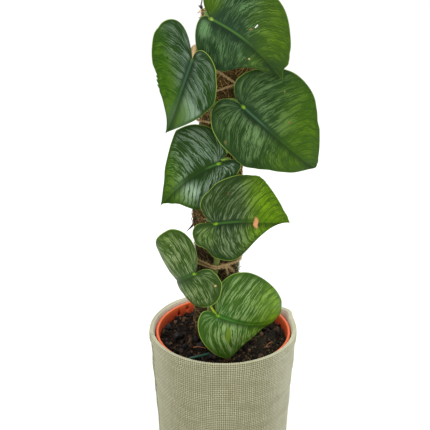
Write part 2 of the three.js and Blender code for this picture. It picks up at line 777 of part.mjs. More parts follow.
function soilBody() {
  const { around, rings } = soilShape;
  const floor = nurseryFoot + nursery.footInset + nursery.wall + touchGap;
  const points = [];
  const triangles = [];
  for (let i = 1; i <= rings; i++) {
    for (let k = 0; k < around; k++) {
      const angle = (2 * Math.PI * k) / around;
      const wallRadius = nurseryInside(soilShape.level) - 2 * touchGap;
      const radius = (wallRadius * i) / rings;
      const [x, y] = [radius * Math.cos(angle), radius * Math.sin(angle)];
      points.push(new THREE.Vector3(x, y, soilHeight(x, y)));
    }
  }
  for (let k = 0; k < around; k++) {
    const angle = (2 * Math.PI * k) / around;
    const radius = nurseryInside(floor) - 2 * touchGap;
    points.push(new THREE.Vector3(radius * Math.cos(angle), radius * Math.sin(angle), floor));
  }
  const topCentre = points.length;
  points.push(new THREE.Vector3(0, 0, soilHeight(0, 0)), new THREE.Vector3(0, 0, floor));
  for (let k = 0; k < around; k++) {
    const next = (k + 1) % around;
    triangles.push(topCentre, k, next, topCentre + 1, rings * around + next, rings * around + k);
    for (let i = 0; i < rings; i++) {
      const [a, b] = [i * around + k, i * around + next];
      triangles.push(a, a + around, b, b, a + around, b + around);
    }
  }
  const poleHole = holeInSoil(coirOutside + touchGap, pole.coirBottom - touchGap);
  const coreHole = holeInSoil(pole.coreRadius + touchGap, pole.coreBottom - touchGap);
  const stemHole = stemTube(touchGap).applyMatrix4(poleToWorld);
  return cut(meshOf(points, triangles), poleHole, coreHole, stemHole, stakeBox(2 * touchGap));
}

// The plant, assembled

const materials = {
  fabric: { color: 0xb3af8f, roughness: 0.95 },
  terracottaPlastic: { color: 0xd25a32, roughness: 0.5 },
  soil: { color: 0x2a231d, roughness: 1 },
  stakeWood: { color: 0x8a6b45, roughness: 0.8 },
  coir: { color: 0x4a3725, roughness: 1 },
  vine: { color: 0x5f7a3c, roughness: 0.55 },
  leaf: { color: 0x3f6534, roughness: 0.45 },
  twine: { color: 0x9b8055, roughness: 0.95 },
  wire: { color: 0x1c1c1c, roughness: 0.5 },
  greenPlastic: { color: 0x1d5a4b, roughness: 0.4 },
};

const plant = new THREE.Group();
plant.add(poleGroup);

function addPiece(parent, name, geometry, finish) {
  const material = new THREE.MeshStandardMaterial({ metalness: 0, ...materials[finish] });
  const mesh = new THREE.Mesh(geometry, material);
  mesh.name = name;
  parent.add(mesh);
}

addPiece(plant, "cover_pot", coverPot(), "fabric");
addPiece(plant, "nursery_pot", nurseryPot(), "terracottaPlastic");
addPiece(plant, "soil", soilBody(), "soil");
addPiece(plant, "green_stake", cleanGeometry(stakeBox(0)), "greenPlastic");
addPiece(poleGroup, "pole_core", poleCore(), "stakeWood");
addPiece(poleGroup, "pole_coir", poleCoir(), "coir");
addPiece(poleGroup, "vine", vine(), "vine");
for (const tie of ties) addPiece(poleGroup, tie.name, twineTie(tie), "twine");
addPiece(poleGroup, "wire_tie", wireTie(), "wire");
for (const leaf of leaves) {
  addPiece(plant, leaf.name, joined(bladeMesh(leaf), petioleAndMidrib(leaf)), "leaf");
}

export default plant;
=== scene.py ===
# The potted monstera dubia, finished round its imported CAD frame.
# Blender works in metres with +Z up. The tables here are in millimetres and degrees.
import json
import math
import random

import bmesh
import bpy
from mathutils import Matrix, Vector, noise

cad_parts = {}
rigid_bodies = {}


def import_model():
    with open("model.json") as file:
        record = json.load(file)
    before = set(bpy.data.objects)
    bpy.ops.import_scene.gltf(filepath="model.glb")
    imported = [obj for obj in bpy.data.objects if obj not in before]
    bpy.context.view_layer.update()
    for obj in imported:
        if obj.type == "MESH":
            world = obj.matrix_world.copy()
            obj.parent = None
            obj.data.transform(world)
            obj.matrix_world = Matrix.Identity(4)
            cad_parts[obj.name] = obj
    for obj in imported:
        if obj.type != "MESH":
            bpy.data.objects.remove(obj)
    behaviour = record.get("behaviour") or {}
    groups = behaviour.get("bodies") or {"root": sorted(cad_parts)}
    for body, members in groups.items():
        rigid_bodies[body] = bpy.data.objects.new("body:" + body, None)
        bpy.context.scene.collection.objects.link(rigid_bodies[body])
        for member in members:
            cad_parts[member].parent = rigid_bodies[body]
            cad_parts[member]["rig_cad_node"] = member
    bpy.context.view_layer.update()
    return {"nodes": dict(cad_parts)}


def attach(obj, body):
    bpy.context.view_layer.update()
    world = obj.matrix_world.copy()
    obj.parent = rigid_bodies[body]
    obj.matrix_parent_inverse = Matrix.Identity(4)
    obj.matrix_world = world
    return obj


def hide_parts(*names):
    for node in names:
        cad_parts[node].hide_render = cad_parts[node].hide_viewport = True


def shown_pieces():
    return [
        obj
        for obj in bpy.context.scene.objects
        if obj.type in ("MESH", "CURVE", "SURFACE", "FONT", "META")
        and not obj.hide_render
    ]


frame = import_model()
mm = 0.001
print("frame loaded:", len(frame["nodes"]), "nodes")

# Camera, floor and light

studio = {
    "cameraPlace": (-7.25, -611.3, 460.9),
    "cameraTilt": 21.08,  # degrees below the horizon
    "focal": 774.8,  # pixels of the photograph
    "photoWidth": 430,
    "sensor": 36,
    "floorReach": 9000,
    "skyStrength": 1.09,
    "aim": (0, 0, 230),
    "lights": [  # place, size, watts
        ((-520, -760, 980), 700, 4.0),
        ((760, -420, 620), 800, 1.5),
        ((120, 620, 900), 600, 3.0),
    ],
}


def srgb(red, green, blue):
    def linear(value):
        share = value / 255
        return share / 12.92 if share <= 0.04045 else ((share + 0.055) / 1.055) ** 2.4

    return (linear(red), linear(green), linear(blue), 1)


def placed(name, data):
    made = bpy.data.objects.new(name, data)
    bpy.context.scene.collection.objects.link(made)
    return made


def compass(angle, radius=1, z=0):  # the point at this bearing, this far from the axis
    return Vector((radius * math.cos(angle), radius * math.sin(angle), z))


def setCamera():
    lens = bpy.data.cameras.new("photoView")
    lens.sensor_width = studio["sensor"]
    lens.lens = studio["sensor"] * studio["focal"] / studio["photoWidth"]
    view = placed("photoView", lens)
    view.location = Vector(studio["cameraPlace"]) * mm
    view.rotation_euler = (math.radians(90 - studio["cameraTilt"]), 0, 0)
    bpy.context.scene.camera = view


def setLights():
    aim = Vector(studio["aim"]) * mm
    for number, (place, size, watts) in enumerate(studio["lights"], 1):
        lamp = bpy.data.lights.new(f"softbox{number}", "AREA")
        lamp.size = size * mm
        lamp.energy = watts
        softbox = placed(lamp.name, lamp)
        softbox.location = Vector(place) * mm
        softbox.rotation_euler = (aim - softbox.location).to_track_quat("-Z", "Y").to_euler()
    sky = bpy.data.worlds.new("studioSky")
    sky.use_nodes = True
    background = sky.node_tree.nodes["Background"]
    background.inputs["Color"].default_value = (1, 1, 1, 1)
    background.inputs["Strength"].default_value = studio["skyStrength"]
    bpy.context.scene.world = sky
    bpy.context.scene.view_settings.view_transform = "Standard"


setCamera()
setLights()
print("camera and lights set")

# Node trees, written as expressions


class Term:
    # One socket's output, which adds and multiplies like a number.

    def __init__(self, graph, socket):
        self.graph = graph
        self.socket = socket

    def __getitem__(self, output):
        return self.graph.outputOf(self.socket.node, output)

    def __add__(self, other):
        return self.graph.maths("ADD", self, other)

    def __radd__(self, other):
        return self.graph.maths("ADD", other, self)

    def __sub__(self, other):
        return self.graph.maths("SUBTRACT", self, other)

    def __rsub__(self, other):
        return self.graph.maths("SUBTRACT", other, self)

    def __mul__(self, other):
        return self.graph.maths("MULTIPLY", self, other)

    def __rmul__(self, other):
        return self.graph.maths("MULTIPLY", other, self)

    def __truediv__(self, other):
        return self.graph.maths("DIVIDE", self, other)

    def __pow__(self, other):
        return self.graph.maths("POWER", self, other)

    def __gt__(self, other):
        return self.graph.maths("GREATER_THAN", self, other)


class Graph:
    # A node tree, for a material or for Geometry Nodes.

    def __init__(self, tree):
        self.tree = tree

    def outputOf(self, made, output):
        shown = [socket for socket in made.outputs if socket.enabled]
        if isinstance(output, str):
            return Term(self, next(socket for socket in shown if socket.name == output))
        return Term(self, shown[output])

    def node(self, kind, settings=None, sockets=None):
        made = self.tree.nodes.new(kind)
        for key, value in (settings or {}).items():
            setattr(made, key, value)
        shown = [socket for socket in made.inputs if socket.enabled]
        for key, value in (sockets or {}).items():
            socket = shown[key] if isinstance(key, int) else next(s for s in shown if s.name == key)
            if isinstance(value, Term):
                self.tree.links.new(value.socket, socket)
            else:
                socket.default_value = value
        return self.outputOf(made, 0) if len(made.outputs) else made

    def maths(self, operation, *values):
        return self.node("ShaderNodeMath", {"operation": operation}, dict(enumerate(values)))

    def vectorMaths(self, operation, *values):
        return self.node("ShaderNodeVectorMath", {"operation": operation}, dict(enumerate(values)))

    def length(self, vector):
        return self.vectorMaths("LENGTH", vector)["Value"]

    def vector(self, x, y, z):
        return self.node("ShaderNodeCombineXYZ", {}, {"X": x, "Y": y, "Z": z})

    def ramp(self, value, low, high):  # 0 below low, 1 above high, smooth between
        ends = {"Value": value, "From Min": low, "From Max": high}
        return self.node("ShaderNodeMapRange", {"interpolation_type": "SMOOTHSTEP"}, ends)

    def fall(self, value, low, high):  # 1 below low, 0 above high
        return 1 - self.ramp(value, low, high)

    def blend(self, share, first, second):
        sockets = {"Factor": share, "A": first, "B": second}
        return self.node("ShaderNodeMix", {"data_type": "RGBA"}, sockets)

    def noise(self, where, scale=1.0, detail=2.0, rough=0.5):
        sockets = {"Vector": where, "Scale": scale, "Detail": detail, "Roughness": rough}
        return self.node("ShaderNodeTexNoise", {}, sockets)

    def net(self, where):  # 0 on the borders of irregular cells, rising to their middles
        sockets = {"Vector": where, "Scale": 1.0}
        return self.node("ShaderNodeTexVoronoi", {"feature": "DISTANCE_TO_EDGE"}, sockets)

    def mark(self, name):  # a number stored on the mesh's points
        return self.node("ShaderNodeAttribute", {"attribute_name": name})["Fac"]

    def place(self):  # where the point lies, in millimetres
        object_ = self.node("ShaderNodeTexCoord")["Object"]
        return self.vectorMaths("MULTIPLY", object_, (1 / mm, 1 / mm, 1 / mm))

    def parts(self, vector):
        split = self.node("ShaderNodeSeparateXYZ", {}, {"Vector": vector})
        return split["X"], split["Y"], split["Z"]

    def map(self, name):
        return self.parts(self.node("ShaderNodeUVMap", {"uv_map": name}))


def finishOf(name, look, *details):
    # look(graph, *details) gives the surface's sockets and its relief in millimetres
    material = bpy.data.materials.new(name)
    material.use_nodes = True
    material.node_tree.nodes.clear()
    graph = Graph(material.node_tree)
    sockets, relief = look(graph, *details)
    if relief is not None:
        sockets["Normal"] = graph.node("ShaderNodeBump", {}, {"Height": relief, "Distance": mm})
    shader = graph.node("ShaderNodeBsdfPrincipled", {}, sockets)
    graph.node("ShaderNodeOutputMaterial", {}, {"Surface": shader})
    return material


# Meshes


def meshOf(name, points, faces, finishes, finishAt=None, marks=None, maps=None):
    mesh = bpy.data.meshes.new(name)
    mesh.from_pydata([tuple(Vector(point) * mm) for point in points], [], faces)
    for finish in finishes:
        mesh.materials.append(finish)
    if finishAt:
        mesh.polygons.foreach_set("material_index", finishAt)
    for markName, values in (marks or {}).items():
        mesh.attributes.new(markName, "FLOAT", "POINT").data.foreach_set("value", values)
    for mapName, corners in (maps or {}).items():
        layer = mesh.uv_layers.new(name=mapName)
        layer.data.foreach_set("uv", [number for corner in corners for number in corner])
    mesh.shade_smooth()
    return mesh


def tidied(mesh):
    # merges doubled points, drops the faces that they flatten and turns all faces outwards
    doubleReach, flatReach = 0.002 * mm, 0.0005 * mm
    shape = bmesh.new()
    shape.from_mesh(mesh)
    bmesh.ops.remove_doubles(shape, verts=shape.verts, dist=doubleReach)
    bmesh.ops.dissolve_degenerate(shape, edges=shape.edges, dist=flatReach)
    bmesh.ops.recalc_face_normals(shape, faces=shape.faces)
    shape.to_mesh(mesh)
    shape.free()
    return mesh


def settle(name, mesh, slot, *nodes):
    piece = placed(name, mesh)
    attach(piece, "root")
    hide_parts(*nodes)
    return piece


def settleJoined(name, parts, finish, slot, node):
    # one piece from several sets of points, faces and marks
    points, faces, marks = [], [], {}
    for part in parts:
        first = len(points)
        points += part["points"]
        faces += [tuple(first + corner for corner in face) for face in part["faces"]]
        for markName, values in part.get("marks", {}).items():
            marks.setdefault(markName, []).extend(values)
    return settle(name, meshOf(name, points, faces, [finish], marks=marks), slot, node)


def ringFaces(rings, around, closed=False):
    # quads from each ring of points to the next, and back to the first where closed
    faces, count = [], rings * around
    for i in range(rings if closed else rings - 1):
        for k in range(around):
            a, b = i * around + k, i * around + (k + 1) % around
            faces.append((a, b, (b + around) % count, (a + around) % count))
    return faces


def fanFaces(centre, first, around, turned):
    # triangles from a middle point to the ring that starts at first
    pairs = [(first + k, first + (k + 1) % around) for k in range(around)]
    return [(centre, b, a) if turned else (centre, a, b) for a, b in pairs]


def smoothPath(points, steps):
    # a centripetal Catmull-Rom curve through the points, in equal steps
    perSpan = 24
    points = [Vector(point) for point in points]
    ends = [2 * points[0] - points[1], *points, 2 * points[-1] - points[-2]]
    dense = []
    for p0, p1, p2, p3 in zip(ends, ends[1:], ends[2:], ends[3:]):
        d0, d1, d2 = [max((b - a).length ** 0.5, 1e-4) for a, b in ((p0, p1), (p1, p2), (p2, p3))]
        m1 = ((p1 - p0) / d0 - (p2 - p0) / (d0 + d1) + (p2 - p1) / d1) * d1
        m2 = ((p2 - p1) / d1 - (p3 - p1) / (d1 + d2) + (p3 - p2) / d2) * d1
        for i in range(perSpan):
            t = i / perSpan
            curve = p1 + m1 * t + (3 * (p2 - p1) - 2 * m1 - m2) * t * t
            dense.append(curve + (2 * (p1 - p2) + m1 + m2) * t ** 3)
    dense.append(points[-1])
    return evenly(dense, steps)


def evenly(dense, steps):
    # points at equal distances along a path of many
    lengths = [0.0]
    for a, b in zip(dense, dense[1:]):
        lengths.append(lengths[-1] + (b - a).length)
    made = []
    k = 0
    for i in range(steps + 1):
        goal = lengths[-1] * i / steps
        while k < len(dense) - 2 and lengths[k + 1] < goal:
            k += 1
        share = (goal - lengths[k]) / max(lengths[k + 1] - lengths[k], 1e-9)
        made.append(dense[k].lerp(dense[k + 1], min(share, 1.0)))
    return made


def tube(path, radiusAt, sides, closed=False, reference=None):
    # radiusAt(share, angle) is the radius; reference is a direction that the rings keep to
    count = len(path)
    points = []
    side = Vector(reference) if reference else None
    for i, centre in enumerate(path):
        if closed:
            ahead = path[(i + 1) % count] - path[i - 1]
        else:
            ahead = path[min(i + 1, count - 1)] - path[max(i - 1, 0)]
        ahead = ahead.normalized()
        if side is None:
            side = ahead.orthogonal()
        kept = Vector(reference) if reference else side
        side = (kept - ahead * kept.dot(ahead)).normalized()
        over = ahead.cross(side)
        for k in range(sides):
            angle = math.tau * k / sides
            radius = radiusAt(i / max(count - 1, 1), angle)
            points.append(centre + (side * math.cos(angle) + over * math.sin(angle)) * radius)
    faces = ringFaces(count, sides, closed)
    if not closed:
        points += [path[0], path[-1]]
        low, high, last = len(points) - 2, len(points) - 1, (count - 1) * sides
        for k in range(sides):
            after = (k + 1) % sides
            faces += [(low, after, k), (high, last + k, last + after)]
    return {"points": points, "faces": faces}


# Things grown over a surface by Geometry Nodes


def growthTree(name, sizes):
    tree = bpy.data.node_groups.new(name, "GeometryNodeTree")
    tree.interface.new_socket("Geometry", in_out="INPUT", socket_type="NodeSocketGeometry")
    tree.interface.new_socket("Geometry", in_out="OUTPUT", socket_type="NodeSocketGeometry")
    for size in sizes:
        kind = {"Seed": "NodeSocketInt", "Finish": "NodeSocketMaterial"}.get(size, "NodeSocketFloat")
        tree.interface.new_socket(size, in_out="INPUT", socket_type=kind)
    graph = Graph(tree)
    return tree, graph, graph.node("NodeGroupInput")


def scattered(graph, given):
    # points over the faces above a height, each with a shade of its own
    height = graph.parts(graph.node("GeometryNodeInputPosition"))[2]
    bed = {
        "Mesh": given["Geometry"],
        "Selection": height > given["Lowest"],
        "Density": given["Density"],
        "Seed": given["Seed"],
    }
    spots = graph.node("GeometryNodeDistributePointsOnFaces", {}, bed)
    shade = graph.node("FunctionNodeRandomValue", {"data_type": "FLOAT"}, {"Seed": given["Seed"]})
    settings = {"data_type": "FLOAT", "domain": "POINT"}
    stored = {"Geometry": spots, "Name": "shade", "Value": shade}
    return spots, graph.node("GeometryNodeStoreNamedAttribute", settings, stored)


def grown(graph, given, points, instance, turn, scale, waves):
    # sets the instances down, makes them real, bends each in its own way and ends the tree;
    # waves is the number of bends in a metre
    sockets = {"Points": points, "Instance": instance, "Rotation": turn, "Scale": scale}
    real = graph.node("GeometryNodeRealizeInstances", {}, {
        "Geometry": graph.node("GeometryNodeInstanceOnPoints", {}, sockets),
    })
    where = graph.node("GeometryNodeInputPosition")
    pattern = graph.node("ShaderNodeTexNoise", {}, {"Vector": where, "Scale": waves})["Color"]
    centred = graph.vectorMaths("SUBTRACT", pattern, (0.5, 0.5, 0.5))
    scaled = {"Vector": centred, "Scale": given["Wiggle"]}
    shift = graph.node("ShaderNodeVectorMath", {"operation": "SCALE"}, scaled)
    bent = graph.node("GeometryNodeSetPosition", {}, {"Geometry": real, "Offset": shift})
    smooth = graph.node("GeometryNodeSetShadeSmooth", {}, {"Geometry": bent})
    done = graph.node("GeometryNodeSetMaterial", {}, {"Geometry": smooth, "Material": given["Finish"]})
    graph.node("NodeGroupOutput", {}, {"Geometry": done})


def fibreTree():
    # curved hairs that lie on the surface, tapered to both ends
    sizes = ["Density", "Lowest", "Length", "Radius", "Arch", "Wiggle", "Seed", "Finish"]
    tree, graph, given = growthTree("fibres", sizes)
    spots, points = scattered(graph, given)
    reach = given["Length"] * 0.5
    curve = graph.node("GeometryNodeCurveQuadraticBezier", {}, {
        "Resolution": 6,
        "Start": graph.vector(reach * -1, 0, given["Arch"] * -0.4),
        "Middle": graph.vector(0, reach * 0.5, given["Arch"]),
        "End": graph.vector(reach, 0, given["Arch"] * -0.4),
    })
    along = graph.node("GeometryNodeSplineParameter")["Factor"]
    taper = 1 - 0.75 * graph.maths("ABSOLUTE", along * 2 - 1) ** 2
    thin = graph.node("GeometryNodeSetCurveRadius", {}, {"Curve": curve, "Radius": taper})
    circle = {"Resolution": 3, "Radius": given["Radius"]}
    ring = graph.node("GeometryNodeCurvePrimitiveCircle", {}, circle)
    hair = {"Curve": thin, "Profile Curve": ring, "Fill Caps": True}
    spin = graph.node("FunctionNodeRandomValue", {"data_type": "FLOAT"}, {"Max": math.tau, "Seed": 3})
    turn = graph.node("FunctionNodeRotateRotation", {"rotation_space": "LOCAL"}, {
        "Rotation": spots["Rotation"],
        "Rotate By": graph.node("FunctionNodeEulerToRotation", {}, {"Euler": graph.vector(0, 0, spin)}),
    })
    size = {"Min": 0.45, "Max": 1.3, "Seed": 4}
    scale = graph.node("FunctionNodeRandomValue", {"data_type": "FLOAT"}, size)
    instance = graph.node("GeometryNodeCurveToMesh", {}, hair)
    grown(graph, given, points, instance, turn, scale, waves=160.0)
    return tree


def crumbTree():
    # small lumps of many sizes, each squashed and turned at random
    sizes = ["Density", "Lowest", "Size", "Wiggle", "Seed", "Finish"]
    tree, graph, given = growthTree("crumbs", sizes)
    spots, points = scattered(graph, given)
    lump = graph.node("GeometryNodeMeshIcoSphere", {}, {"Radius": given["Size"], "Subdivisions": 2})
    turnBy = {"Max": (math.tau, math.tau, math.tau), "Seed": 5}
    turn = graph.node("FunctionNodeRandomValue", {"data_type": "FLOAT_VECTOR"}, turnBy)
    shape = {"Min": (0.35, 0.4, 0.3), "Max": (1.3, 1.0, 0.8), "Seed": 6}
    scale = graph.node("FunctionNodeRandomValue", {"data_type": "FLOAT_VECTOR"}, shape)
    rotation = graph.node("FunctionNodeEulerToRotation", {}, {"Euler": turn})
    grown(graph, given, points, lump, rotation, scale, waves=900.0)
    return tree


def evaluatedMesh(carrier):
    return bpy.data.meshes.new_from_object(carrier.evaluated_get(bpy.context.evaluated_depsgraph_get()))


def grow(name, bed, tree, values):
    # runs the tree on a mesh and gives the result as a plain mesh
    carrier = placed(name + "_bed", bed)
    step = carrier.modifiers.new("growth", "NODES")
    step.node_group = tree
    for item in tree.interface.items_tree:
        if item.in_out == "INPUT" and item.name in values:
            step[item.identifier] = values[item.name]
    made = evaluatedMesh(carrier)
    bpy.data.objects.remove(carrier)
    made.name = name
    return made


fibres = fibreTree()
crumbs = crumbTree()

# The pole's own frame leans with it: origin at its foot on the soil, z along the pole

pole = {
    "foot": (-8, 8, 108),
    "lean": 1.91,
    "coreRadius": 7,
    "coirRadius": 18.5,
    "coirRelief": 0.8,
    "coirBottom": -46,
    "coirTop": 285,
    "around": 110,
    "rings": 330,
    "matting": 0.55,  # depth of the felt's own roughness
    "folds": [(188, 24, 118, 21, 3.4), (-4, 28, 243, 12, 7.5)],  # angle, spread, height, reach, depth
    "touchGap": 0.35,
}
poleFrame = Matrix.Translation(pole["foot"]) @ Matrix.Rotation(math.radians(pole["lean"]), 4, "Y")
coirOutside = pole["coirRadius"] + pole["coirRelief"]

# Leaves: the same blades as in the frame, in finer mesh


def half(width, lobe, widest, shoulder, tip, fullness, notch):
    return {"width": width, "lobe": lobe, "widest": widest, "shoulder": shoulder, "tip": tip,
            "fullness": fullness, "notch": notch}


